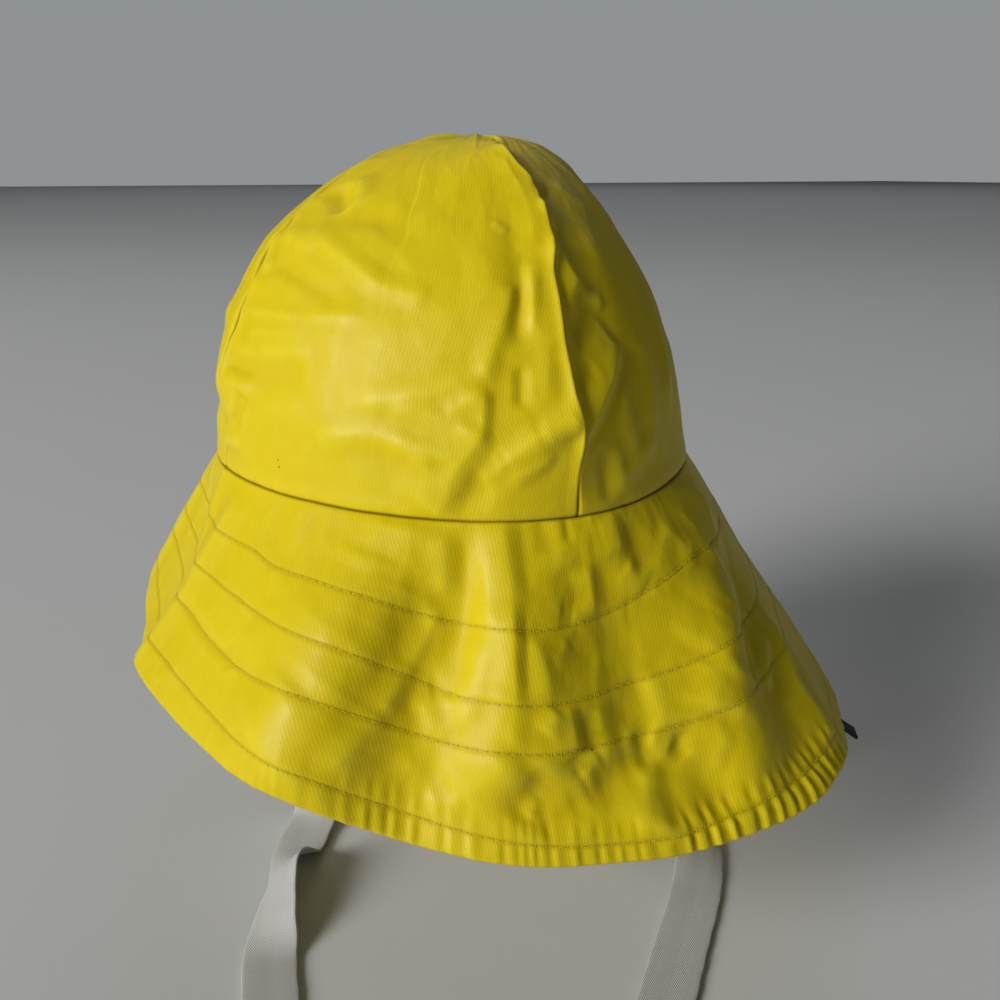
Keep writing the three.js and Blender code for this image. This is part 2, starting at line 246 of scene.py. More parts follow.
CROWN_CREASES = rows_of(
    Crease,
    # tucks to the right of the back seam, from the top down
    (-1, 0.79, -6.5, 0.68, 3, 3, 1.3, 0.4),
    (-3.5, 0.61, -6.5, 0.555, 2.6, 2.4, 1.5, 0.4),
    (-5, 0.67, -12, 0.64, 3, 4, -1.3, 0.3),
    (-3, 0.52, -9.5, 0.42, 7, 3, 2, 0.8),
    (-10, 0.41, -17.5, 0.395, 3, 3, 1.2, 0.6),
    (-14, 0.375, -3.5, 0.335, 5, 5, -1.6, 0.2),
    (-11.5, 0.38, -18.5, 0.285, 8, 3, 1.6, 0.9),
    (-18.5, 0.29, -1.8, 0.145, 11, 3, 2.6, 0.9),
    (-8, 0.27, -2, 0.24, 4, 4, -0.9, 0.3),
    (-16.5, 0.24, -19, 0.1, 5, 3.5, 1, 0.7),
    (-12.5, 0.12, -13.5, 0.03, 4, 3, 0.9, 0.5),
    (-7.5, 0.12, -9, 0.02, 3, 3.5, -0.9, 0.4),
    (-27, 0.11, -14, 0.05, 3.5, 4, 1, 0.6),
    (-30, 0.3, -27, 0.12, 5, 5, 0.8, 0.4),
    (-20, 0.68, -34, 0.6, 5, 5, 0.9, 0.4),
    # diagonal folds low on the back left panel
    (0.8, 0.182, 8, 0.16, 4.5, 2.5, 1.5, 0.9),
    (8, 0.16, 16.5, 0.11, 4.5, 2.5, 1.4, 0.9),
    (16.5, 0.11, 20.5, 0.08, 4, 3, 0.9, 0.7),
    (7, 0.125, 15, 0.08, 3, 3, 0.6, 0.7),
    (20, 0.24, 20.8, 0.155, 6, 2.5, 1.3, 0.9),
    (20.8, 0.165, 26.5, 0.09, 9, 4, 1.9, 0.8),
    (26.5, 0.09, 30, 0.01, 10, 5, 1.9, 0.6),
    (12, 0.28, 12.5, 0.215, 2.5, 2.5, -1, 0.7),
    (20, 0.24, 27, 0.205, 3.5, 3, 0.9, 0.8),
    # long gentle ridges that cross the panel
    (17, 0.285, 31, 0.235, 4, 4, 0.8, 0.7),
    (31, 0.235, 44, 0.212, 4, 4, 0.8, 0.7),
    (53, 0.13, 42, 0.155, 4, 4.5, 1, 0.6),
    (42, 0.155, 30, 0.115, 4, 4, 1.1, 0.7),
    (37, 0.145, 26, 0.12, 3, 3, 0.6, 0.8),
    (38, 0.2, 27, 0.19, 3, 3, 0.5, 0.7),
    # upright strips beside the back seam
    (6.5, 0.47, 8.5, 0.35, 3, 2.5, 0.9, 0.5),
    (13.5, 0.43, 17, 0.35, 4, 3, 0.9, 0.5),
    (17, 0.35, 20, 0.27, 4, 3, 0.9, 0.5),
    (10.5, 0.43, 12.5, 0.33, 3, 3, -0.9, 0.4),
    (2.5, 0.5, 3, 0.2, 4, 3.5, -1, 0.2),
    (16, 0.575, 12.5, 0.55, 1.6, 1.6, 0.5, 0.4),
    # gathers that start at the left seam
    (85, 0.232, 73, 0.235, 4, 4.5, -2, 0.6),
    (73, 0.235, 59, 0.25, 6, 7, -1.5, 0.3),
    (84, 0.21, 74, 0.2, 3, 3, 1.3, 0.4),
    (76, 0.18, 79, 0.11, 3, 3, -1.6, 0.4),
    (84, 0.07, 77, 0.075, 2.5, 2.5, 1.3, 0.5),
    (84, 0.52, 80, 0.44, 2.5, 2.5, 1.3, 0.5),
    (80, 0.53, 66, 0.5, 3.5, 4, 1.2, 0.6),
    (76, 0.66, 65, 0.61, 4.5, 4.5, -2.4, 0.4),
    (69, 0.69, 60, 0.62, 4.5, 4.5, 1.3, 0.5),
    (66, 0.585, 45, 0.57, 4, 5, -0.9, 0.4),
    (70, 0.545, 55, 0.49, 4, 3.5, 1.1, 0.6),
    (55, 0.49, 43, 0.43, 4, 3.5, 1.2, 0.7),
    (43, 0.43, 33, 0.415, 4, 3.5, 0.8, 0.7),
    (76, 0.46, 64, 0.43, 3, 3.5, -0.9, 0.5),
    (64, 0.43, 53, 0.4, 3, 3.5, -0.7, 0.5),
    (80, 0.35, 62, 0.355, 2.5, 2.5, 0.6, 0.7),
    (78, 0.31, 60, 0.325, 2.5, 2.5, 0.5, 0.7),
    (60, 0.36, 47, 0.37, 2.5, 2.5, 0.5, 0.7),
    (72, 0.27, 58, 0.29, 4, 4, 0.8, 0.5),
    # the sides and the front
    (-88, 0.3, -62, 0.22, 5, 4, 1.4, 0.6),
    (-90, 0.5, -70, 0.42, 4, 4, 1, 0.5),
    (-45, 0.36, -38, 0.15, 5, 4, 1.2, 0.6),
    (-96, 0.18, -118, 0.1, 4, 4, -1.4, 0.6),
    (178, 0.42, 158, 0.3, 5, 4, 1.4, 0.6),
    (-178, 0.3, -162, 0.2, 4, 4, 1.3, 0.7),
    (-180, 0.56, -160, 0.48, 4, 4, 1, 0.5),
    (98, 0.35, 122, 0.27, 5, 4, 1.2, 0.6),
    (92, 0.15, 112, 0.1, 4, 4, -1.3, 0.6),
    (-130, 0.42, -122, 0.2, 5, 4, 1.1, 0.6),
)

BRIM_CREASES = rows_of(
    Crease,
    # crest that ends the smooth left part, with a slope to its right
    (34.5, 0.02, 35.3, 0.2, 16, 9, 2, 0.7),
    (35.3, 0.2, 39, 0.42, 16, 10, 2.6, 0.7),
    (39, 0.42, 42.5, 0.64, 16, 11, 2.8, 0.7),
    (42.5, 0.64, 47, 0.95, 14, 12, 2.8, 0.6),
    # narrow crests in the long fold
    (29, 0.29, 33, 0.48, 4, 4.5, 1.6, 0.5),
    (33, 0.48, 35.5, 0.63, 4, 5, 1.7, 0.5),
    (35.5, 0.63, 40.5, 0.86, 4, 5.5, 1.4, 0.4),
    (31, 0.45, 34, 0.65, 3, 6, -0.5, 0.3),
    (24, 0.05, 25.5, 0.5, 4, 5, -1.6, 0.3),
    (28.5, 0.06, 28, 0.22, 5, 4, 1, 0.3),
    (29.5, 0.53, 25.5, 0.52, 3, 3, -1, 0.5),
    (26, 0.5, 31, 0.6, 4, 4, 0.9, 0.5),
    (28, 0.6, 32.5, 0.8, 6, 5, 1.2, 0.3),
    # broad crest in the middle, steep on its right
    (17.2, 0, 16.6, 0.27, 9, 4, 1.6, 0.6),
    (16.6, 0.27, 17, 0.52, 10, 3, 2.2, 0.9),
    (17, 0.52, 18, 0.66, 8, 4, 1.2, 0.5),
    (22.5, 0.38, 24.5, 0.62, 5, 4, 1.2, 0.4),
    (13.5, 0.35, 12, 0.52, 4, 5, 0.8, 0.4),
    (11, 0.56, 13, 0.62, 3.5, 3.5, 0.8, 0.4),
    # hollow right of it, under the back seam
    (9.5, 0, 8.5, 0.1, 4, 4.5, -0.6, 0.3),
    (3.3, 0, 3.6, 0.07, 2.4, 2.4, -0.5, 0.5),
    (5.5, 0.15, 3, 0.26, 6, 6, -0.8, 0.3),
    (7.5, 0.27, 5, 0.29, 4, 4, -0.4, 0.4),
    (0.5, 0.16, 0, 0.29, 5, 5, 0.9, 0.4),
    (-3.5, 0.14, -4, 0.26, 5, 6, -0.6, 0.3),
    (-8, 0.02, -9, 0.12, 6, 4.5, 0.8, 0.4),
    (-12.5, 0.06, -13.5, 0.19, 4, 6, -1, 0.4),
    (-9.5, 0.17, -12.5, 0.24, 4.5, 4.5, 0.8, 0.5),
    (-22, 0.1, -26, 0.22, 5, 4, 1, 0.5),
    # hollow between the second and third rows, with the crests on its sides
    (9, 0.56, 8, 0.68, 7, 3.5, 1.4, 0.7),
    (6, 0.58, 6, 0.68, 3.5, 6, -0.8, 0.3),
    (3, 0.57, 3.3, 0.63, 3, 3, 0.4, 0.4),
    (-1.5, 0.54, -1, 0.66, 6, 6, -0.5, 0.3),
    (-6, 0.5, -5, 0.64, 5, 6, -0.4, 0.4),
    (-9, 0.5, -9, 0.66, 4, 8, 1.3, 0.4),
    (7, 0.37, 2, 0.44, 5, 5, -0.5, 0.3),
    (10, 0.42, 7, 0.37, 3.5, 3.5, 0.4, 0.5),
    # long crest on the right, wide on its left and narrower on its right
    (-44, 0.08, -36, 0.3, 20, 8, 3.4, 0.7),
    (-36, 0.3, -27, 0.43, 18, 9, 3.4, 0.7),
    (-27, 0.43, -20, 0.52, 14, 10, 2.4, 0.7),
    (-20, 0.52, -16.5, 0.64, 9, 14, 2, 0.6),
    (-36, 0.55, -30, 0.66, 4, 4, 2, 0.5),
    (-30, 0.48, -26, 0.62, 3, 3, -1, 0.4),
    (-43, 0.55, -36.5, 0.72, 9, 3.5, 1.8, 0.8),
    (-36.5, 0.72, -37, 0.93, 10, 3.5, 2.2, 0.8),
    # cloth that hangs over between the third row and the hem
    (7.5, 0.75, 4.5, 0.705, 4, 5, 0.9, 0.5),
    (4.5, 0.705, -4, 0.662, 4, 6, 1.1, 0.6),
    (8.5, 0.69, 7, 0.745, 4, 3, -0.5, 0.4),
    (5, 0.76, -2, 0.735, 6, 6, -0.8, 0.3),
    (-4, 0.655, -5, 0.75, 4, 3.5, -1.1, 0.5),
    (-6.5, 0.66, -9.5, 0.7, 4, 4, 0.8, 0.5),
    (-9.8, 0.7, -11, 0.745, 3, 4, -0.7, 0.4),
    (-11, 0.715, -15.5, 0.79, 6, 9, 0.9, 0.6),
    (-11.5, 0.72, -17, 0.7, 3, 5, 0.8, 0.5),
    (-4.2, 0.755, -1.5, 0.93, 9, 12, 2.2, 0.7),
    (-8, 0.74, -6, 0.93, 6, 5, -0.9, 0.2),
    (-13, 0.68, -13.5, 0.93, 8, 10, -3, 0.2),
    (-4, 0.76, 8, 0.825, 8, 5, -1.5, 0.5),
    (8, 0.825, 14, 0.9, 8, 5, -1.5, 0.5),
    (18, 0.7, 24.5, 0.845, 9, 7, 1.9, 0.7),
    (13, 0.74, 17, 0.88, 6, 6, -1.8, 0.2),
    (24.5, 0.845, 29, 0.87, 5, 4, 0.9, 0.5),
    (14.5, 0.82, 15.5, 0.87, 2.5, 2.5, 0.8, 0.4),
    # left of the long fold
    (53, 0.3, 57, 0.62, 16, 12, 1.2, 0.3),
    (45, 0.68, 51, 0.86, 10, 9, 1.3, 0.4),
    (62, 0.62, 60, 0.7, 3, 3, -0.7, 0.5),
    (79, 0.62, 71, 0.65, 2.5, 2.5, -0.7, 0.6),
    (71, 0.65, 62, 0.675, 2.5, 2.5, -0.7, 0.6),
    (76, 0.1, 79.5, 0.5, 5, 6, 1.8, 0.7),
    (79.5, 0.5, 83, 1, 5, 6, 1.8, 0.7),
    (84, 0.1, 90, 1, 6, 5, -1.6, 0.3),
    # the front and the far side
    (112, 0.1, 116, 1, 8, 6, 1.6, 0.5),
    (128, 0.2, 126, 1, 6, 6, -1.3, 0.4),
    (168, 0.1, 172, 1, 8, 6, 1.5, 0.5),
    (-172, 0.2, -168, 0.9, 5, 5, -1.1, 0.4),
    (-136, 0.1, -131, 1, 8, 6, 1.8, 0.5),
    (-104, 0.1, -99, 1, 7, 6, 1.7, 0.6),
    (-88, 0.15, -84, 0.95, 6, 6, -1.5, 0.5),
    (-70, 0.1, -66, 0.9, 7, 6, 1.5, 0.5),
)

ROW_STATIONS = rows_of(
    RowStation,
    (-180, 0.3, 0.52, 0.7, 0.89),
    (-120, 0.27, 0.5, 0.67, 0.905),
    (-75, 0.25, 0.49, 0.645, 0.92),
    (-50, 0.235, 0.485, 0.63, 0.925),
    (-27, 0.217, 0.48, 0.635, 0.925),
    (-15, 0.25, 0.495, 0.655, 0.94),
    (-4, 0.29, 0.507, 0.658, 0.955),
    (6, 0.318, 0.535, 0.675, 0.955),
    (15, 0.33, 0.547, 0.686, 0.948),
    (24, 0.318, 0.54, 0.686, 0.936),
    (33, 0.301, 0.505, 0.674, 0.922),
    (42, 0.296, 0.486, 0.668, 0.912),
    (50, 0.28, 0.476, 0.671, 0.902),
    (58, 0.278, 0.462, 0.678, 0.89),
    (66, 0.25, 0.447, 0.663, 0.876),
    (76, 0.255, 0.445, 0.636, 0.868),
    (90, 0.25, 0.45, 0.62, 0.87),
    (120, 0.28, 0.49, 0.66, 0.88),
)

HEM_PUCKERS = rows_of(
    Pucker,
    (-180, 0.5),
    (-90, 0.6),
    (-50, 0.9),
    (-32, 1.2),
    (-12, 1.25),
    (-3, 0.7),
    (8, 0.45),
    (24, 0.55),
    (36, 0.75),
    (46, 0.4),
    (58, 0.14),
    (88, 0.12),
    (120, 0.4),
)

LEFT_TIE_ROUTE = rows_of(
    Stop,
    (0.084, -0.004, -0.035, (1, 0.1, 0)),
    (0.071, -0.018, -0.09625, (0.8, 0.5, -0.4)),
    (0.057, -0.033, -0.147, (0.6, 0.75, -0.3)),
    (0.052, -0.038, -0.165375, (0.6, 0.78, 0.1)),
    (0.056, -0.031, -0.172375, (0.3, 0.4, 0.9)),
    (0.067, -0.014, -0.17325, (0, 0, 1)),
    (0.08, 0.008, -0.167125, (0.6, -0.45, 0.65)),
    (0.089, 0.028, -0.168875, (0.45, -0.3, 0.85)),
    (0.097, 0.05, -0.1743, (0, 0, 1)),
    (0.104, 0.08, -0.1743, (0, 0, 1)),
)

RIGHT_TIE_ROUTE = rows_of(
    Stop,
    (-0.09, 0.005, -0.04375, (-1, 0, 0)),
    (-0.095, 0.017, -0.105, (-1, 0.1, 0)),
    (-0.098, 0.033, -0.1505, (-0.9, 0.4, 0.3)),
    (-0.095, 0.048, -0.168875, (-0.6, 0.3, 0.8)),
    (-0.086, 0.062, -0.1715, (-0.3, 0.1, 1)),
    (-0.068, 0.084, -0.1743, (0, 0, 1)),
    (-0.044, 0.108, -0.1743, (0, 0, 1)),
    (-0.018, 0.134, -0.1743, (0, 0, 1)),
)


def wrap(degrees: Array) -> Array:
    """Angles brought to the half turn on each side of zero."""
    return (degrees + 180) % 360 - 180


def smoothstep(value: Array, low: float, high: float) -> Array:
    """A smooth rise from 0 at low to 1 at high."""
    share = np.clip((value - low) / (high - low), 0, 1)
    return share * share * (3 - 2 * share)


def monotone(knots: Array, values: Array, at: Array) -> Array:
    """Smooth curve through table values that never overshoots them.

    Args:
        knots: Rising places of the values.
        values: The value at each knot.
        at: Where the curve is wanted.

    Returns:
        The curve's values, in the shape of at.
    """
    widths = np.diff(knots)
    rises = np.diff(values) / widths
    before = 2 * widths[1:] + widths[:-1]
    after = widths[1:] + 2 * widths[:-1]
    with np.errstate(divide="ignore", invalid="ignore"):
        mean = (before + after) / (before / rises[:-1] + after / rises[1:])
    inner = np.where(rises[:-1] * rises[1:] > 0, mean, 0)
    slopes = np.concatenate([rises[:1], inner, rises[-1:]])
    i = np.clip(np.searchsorted(knots, at, side="right") - 1, 0, len(knots) - 2)
    u = np.clip((at - knots[i]) / widths[i], 0, 1)
    start = values[i] * (1 + 2 * u) * (1 - u) ** 2
    end = values[i + 1] * u * u * (3 - 2 * u)
    return start + end + u * (1 - u) * widths[i] * (slopes[i] * (1 - u) - slopes[i + 1] * u)


def unit(vectors: Array) -> Array:
    """Vectors brought to a length of one."""
    return vectors / np.maximum(np.linalg.norm(vectors, axis=-1, keepdims=True), 1e-12)


def travel_along(points: Array) -> Array:
    """Distance of each point from the first, along the line of points."""
    return np.concatenate([[0], np.cumsum(np.linalg.norm(np.diff(points, axis=0), axis=1))])


def on_lattice(across: Array, along: Array | float, level: float = 0.0) -> Array:
    """Places on one level of a lattice, with the three coordinates in a last axis."""
    across, along = np.broadcast_arrays(across, along)
    return np.stack([across, along, np.full(across.shape, level)], -1)


def fade_at_front(azimuth: Array) -> Array:
    """One all round, down to 0 at the centre front, where the flat coordinates start again."""
    return smoothstep(180 - np.abs(wrap(azimuth)), 0, 6)


def put_in_scene(name: str, data: bpy.types.ID) -> bpy.types.Object:
    """A new object with this data, linked to the scene."""
    made = bpy.data.objects.new(name, data)
    bpy.context.scene.collection.objects.link(made)
    return made


@dataclass(frozen=True)
class Table:
    """Columns of a table as smooth functions of its knots."""

    knots: Array
    rows: Array

    def column(self, index: int, at: Array) -> Array:
        """One column's values at the given places."""
        return monotone(self.knots, self.rows[:, index], at)

    @staticmethod
    def around(stations: Sequence[NamedTuple]) -> "Table":
        """A table whose first column is an azimuth and that closes on itself after a full turn.

        Args:
            stations: Rows in rising azimuth from -180.

        Returns:
            The table, with the rows beyond each end repeated a turn away.
        """
        rows = np.array(stations, float)
        turned = np.vstack([rows[-1:], rows, rows[:2]])
        turned[0, 0] -= 360
        turned[-2:, 0] += 360
        return Table(turned[:, 0], turned[:, 1:])


@dataclass(frozen=True)
class Crumple:
    """Irregular relief of soft cloth, made from smooth values on a lattice of points."""

    seed: int
    scatter: float = 0.42
    bend: float = 0.3
    bend_scale: float = 1.3

    def _corner(self, cell: Array) -> Array:
        """A fixed irregular number from -1 to 1 for each lattice cell."""
        key = cell @ np.array([374761393, 668265263, 982451653], np.int64) + self.seed * 1274126177
        key = key & 0xFFFFFFFF
        key = (key ^ (key >> 13)) * 1274126177 & 0xFFFFFFFF
        key = (key ^ (key >> 15)) * 668265263 & 0xFFFFFFFF
        return ((key ^ (key >> 16)) & 0xFFFFFF) / 0x7FFFFF - 1

    def smooth(self, points: Array) -> Array:
        """Values from -1 to 1 that vary smoothly, one cell to each unit of the points."""
        low = np.floor(points).astype(np.int64)
        part = points - low
        part = part**3 * (part * (part * 6 - 15) + 10)
        total = np.zeros(points.shape[:-1])
        for corner in np.ndindex(2, 2, 2):
            side = np.array(corner)
            weight = np.where(side == 1, part, 1 - part).prod(-1)
            total += weight * self._corner(low + side)
        return total

    def facets(self, across: Array, along: Array) -> Array:
        """Shallow hollows that meet in sharp crests, from 0 in each middle to about 0.7.

        Args:
            across: Place on the flat cloth, one hollow to each unit.
            along: Place on the flat cloth, the other way.

        Returns:
            Square of the distance to the nearest hollow's middle.
        """
        low = np.floor(on_lattice(across, along)).astype(np.int64)
        nearest = np.full(across.shape, np.inf)
        for step in np.ndindex(3, 3):
            cell = low + np.array([step[0] - 1, step[1] - 1, 0])
            x = cell[..., 0] + 0.5 + self.scatter * self._corner(cell)
            y = cell[..., 1] + 0.5 + self.scatter * self._corner(cell + np.array([0, 0, 9]))
            nearest = np.minimum(nearest, (across - x) ** 2 + (along - y) ** 2)
        return nearest

    def wrinkles(self, across: Array, along: Array) -> Array:
        """Crests and folds of crumpled cloth, about -0.5 to 0.5."""
        flat = on_lattice(across, along, 0.5)
        bend_across, bend_along = (self.smooth(flat * self.bend_scale + shift) for shift in (0, 11.7))
        crests = self.facets(across + self.bend * bend_across, along + self.bend * bend_along)
        folds = self.facets(along * 0.8 - across * 0.4 + 31.3, across * 0.9 + along * 0.3 + 17.9)
        return crests - folds


class CrumpleSize(NamedTuple):
    """Crumples of one size: how wide and tall each is, in metres, and their part of the depth."""

    seed: int
    wide: float
    tall: float
    part: float
    shift_across: float = 0.0
    shift_along: float = 0.0


@dataclass(frozen=True)
class CrumpledCloth:
    """Crumples of three sizes, the smaller two in patches, with a fine unevenness on top."""

    wide: CrumpleSize
    middle: CrumpleSize
    small: CrumpleSize
    fine_seed: int
    fine_size: float
    patch_seed: int
    fine_part: float = 0.07
    patch_size: float = 0.035

    def relief(self, across: Array, along: Array, points: Array) -> Array:
        """Relief of the cloth in shares of its depth.

        Args:
            across: Place on the flat cloth, in metres.
            along: Place on the flat cloth, the other way.
            points: Place in the hat's frame.

        Returns:
            About -0.5 to 0.5 for each place.
        """
        wide, middle, small = (
            size.part * Crumple(size.seed).wrinkles(
                across / size.wide + size.shift_across, along / size.tall + size.shift_along)
            for size in (self.wide, self.middle, self.small)
        )
        fine = Crumple(self.fine_seed).smooth(points / self.fine_size)
        patchy = 0.6 + 0.4 * Crumple(self.patch_seed).smooth(points / self.patch_size)
        return wide + (middle + small) * patchy + self.fine_part * fine


@dataclass(frozen=True)
class HatForm:
    """Shape of the crown and the brim as surfaces over azimuth and share."""

    head_length: float = 0.2
    head_width: float = 0.18
    crown_height: float = 0.116
    brim_length: float = 0.104
    seam_saddle: float = 0.0015
    fold_growth: float = 0.35
    fold_fade: float = 0.15
    seams: tuple[float, float, float, float] = (0, 86, 180, 270)
    crown_table: Table = field(init=False)
    crown_length: float = field(init=False)
    brim_table: Table = field(init=False)
    row_table: Table = field(init=False)
    pucker_table: Table = field(init=False)

    def __post_init__(self) -> None:
        """Works out the tables' knots."""
        rows = np.array(CROWN_SECTIONS)
        rises = np.diff(rows[:, 0]) * self.crown_height
        spreads = np.diff(rows[:, 1]) * (self.head_length + self.head_width) / 4
        knots = np.concatenate([[0], np.cumsum(np.hypot(rises, spreads))])
        object.__setattr__(self, "crown_length", float(knots[-1]))
        object.__setattr__(self, "crown_table", Table(knots / knots[-1], rows))
        object.__setattr__(self, "brim_table", Table.around(BRIM_STATIONS))
        object.__setattr__(self, "row_table", Table.around(ROW_STATIONS))
        object.__setattr__(self, "pucker_table", Table.around(HEM_PUCKERS))

    def oval(self, azimuth: Array, corner: Array) -> Array:
        """The head oval's points at these azimuths, with the given exponents."""
        side, back = np.sin(np.radians(azimuth)), np.cos(np.radians(azimuth))
        x = self.head_width / 2 * np.sign(side) * np.abs(side) ** (2 / corner)
        y = self.head_length / 2 * np.sign(back) * np.abs(back) ** (2 / corner)
        return np.stack([x, y], -1)

    def seam_lift(self, azimuth: Array) -> Array:
        """How far the seam between crown and brim rises above its plane."""
        return -self.seam_saddle * np.cos(np.radians(2 * azimuth))

    def crown(self, azimuth: Array, height: Array) -> Array:
        """The crown without its fine creases."""
        rise, spread, corner, left, back, twist = (
            self.crown_table.column(i, height) for i in range(6)
        )
        around = self.oval(azimuth, corner)
        size = np.linalg.norm(around, axis=-1)
        dents = np.zeros_like(size)
        for dent in CROWN_DENTS:
            across = wrap(azimuth - dent.azimuth)
            along = height - dent.height - dent.slant * across
            reach = (across / dent.wide) ** 2 + (along / dent.tall) ** 2
            dents += dent.depth * MM * np.exp(-reach)
        swell = spread * (1 + dents / size)
        turn = np.radians(twist)
        x = (around[..., 0] * np.cos(turn) + around[..., 1] * np.sin(turn)) * swell
        y = (around[..., 1] * np.cos(turn) - around[..., 0] * np.sin(turn)) * swell
        z = rise * self.crown_height + self.seam_lift(azimuth) * (1 - height)
        return np.stack([x + left * self.head_width, y + back * self.head_width, z], -1)

    def brim(self, azimuth: Array, down: Array) -> Array:
        """The brim without its fine creases."""
        at = wrap(azimuth)
        side, back = np.sin(np.radians(at)) / self.head_width, np.cos(np.radians(at)) / self.head_length
        out = unit(np.stack([side, back], -1))
        reach, fall, bow = (self.brim_table.column(i, at) * self.brim_length for i in range(3))
        folds = np.zeros_like(reach * down)
        for fold in BRIM_FOLDS:
            across = wrap(at - fold.seam - (fold.rim - fold.seam) * down) / fold.wide
            grows = smoothstep(down, fold.start, fold.start + self.fold_growth)
            fades = smoothstep(fold.end - down, 0, self.fold_fade)
            folds += fold.depth * MM * np.exp(-0.5 * across**2) * grows * fades
        lift = (folds + bow * np.sin(np.pi * down)) / np.hypot(reach, fall)
        flat = self.oval(at, np.full_like(at, CROWN_SECTIONS[0].corner))
        flat = flat + out * (reach * down + fall * lift)[..., None]
        z = self.seam_lift(at) - fall * down + reach * lift
        return np.concatenate([flat, z[..., None]], -1)

    def brim_run(self, azimuth: Array) -> Array:
        """Length of the cloth from the seam to the rim."""
        at = wrap(azimuth)
        return np.hypot(*(self.brim_table.column(i, at) for i in (0, 1))) * self.brim_length

    @staticmethod
    def normals(surface: Surface, azimuth: Array, share: Array, upwards: bool) -> Array:
        """Outward directions of a surface.

        Args:
            surface: The surface's points over azimuth and share.
            azimuth: Where the directions are wanted.
            share: Where the directions are wanted.
            upwards: True where the share grows upwards, as on the crown.

        Returns:
            One unit vector for each place.
        """
        turn, step = 0.5, 0.004
        sideways = surface(azimuth + turn, share) - surface(azimuth - turn, share)
        lengthways = surface(azimuth, share + step) - surface(azimuth, share - step)
        return unit(np.cross(sideways, lengthways) * (-1 if upwards else 1))


@dataclass(frozen=True)
class CreaseShape:
    """Cross-section and ends of a crease, in shares of its width and of its length."""

    round_blunt: float = 0.3
    sharp_blunt: float = 0.04
    reach: float = 1.35
    foot: float = 0.012
    outside: float = -0.18
    inside: float = 0.2

    def profile(self, far: Array, crisp: float) -> Array:
        """Height over the distance from the line, between a round hill and a sharp ridge.

        Args:
            far: Distance from the line, in widths.
            crisp: From 0, round, to 1, folded sharp.

        Returns:
            Height from 0 to about 1.
        """
        blunt = self.round_blunt * (1 - crisp) + self.sharp_blunt
        round_part = np.exp(-(far**2))
        slope = 1 - (np.sqrt(far**2 + blunt**2) - blunt) / self.reach
        sharp_part = (slope + np.sqrt(slope**2 + self.foot)) / 2
        return round_part + (sharp_part - round_part) * crisp

    def ends(self, step: Array) -> Array:
        """One along the line and down to 0 just past its ends, with step from 0 to 1 between them."""
        start = smoothstep(step, self.outside, self.inside)
        return start * smoothstep(1 - step, self.outside, self.inside)


def crease_relief(
    creases: Sequence[Crease], azimuth: Array, share: Array, radius: Array, length: Array
) -> Array:
    """Sum of the creases at each place, in metres.

    Args:
        creases: The lines, with their widths and depths in millimetres.
        azimuth: Azimuth of each place.
        share: Share of each place, growing downwards on the brim and upwards on the crown.
        radius: Distance of each place from the hat's axis.
        length: Length of the cloth that a share of one stands for.

    Returns:
        How far the cloth stands out.
    """
    shape = CreaseShape()
    total = np.zeros(np.broadcast(azimuth, share).shape)
    scale_across = np.radians(1) * radius
    for crease in creases:
        across = wrap(azimuth - crease.azimuth) * scale_across / MM
        along = (share - crease.share) * length / MM
        run_across = wrap(np.float64(crease.to_azimuth - crease.azimuth)) * scale_across / MM
        run_along = (crease.to_share - crease.share) * length / MM
        run = np.hypot(run_across, run_along)
        step = (across * run_across + along * run_along) / np.maximum(run**2, 1e-6)
        beside = (across * run_along - along * run_across) / np.maximum(run, 1e-6)
        wide = np.where(beside * np.sign(run_along + 1e-9) > 0, crease.left, crease.right)
        profile = shape.profile(np.abs(beside) / wide, crease.crisp)
        total += crease.depth * MM * profile * shape.ends(step)
    return total


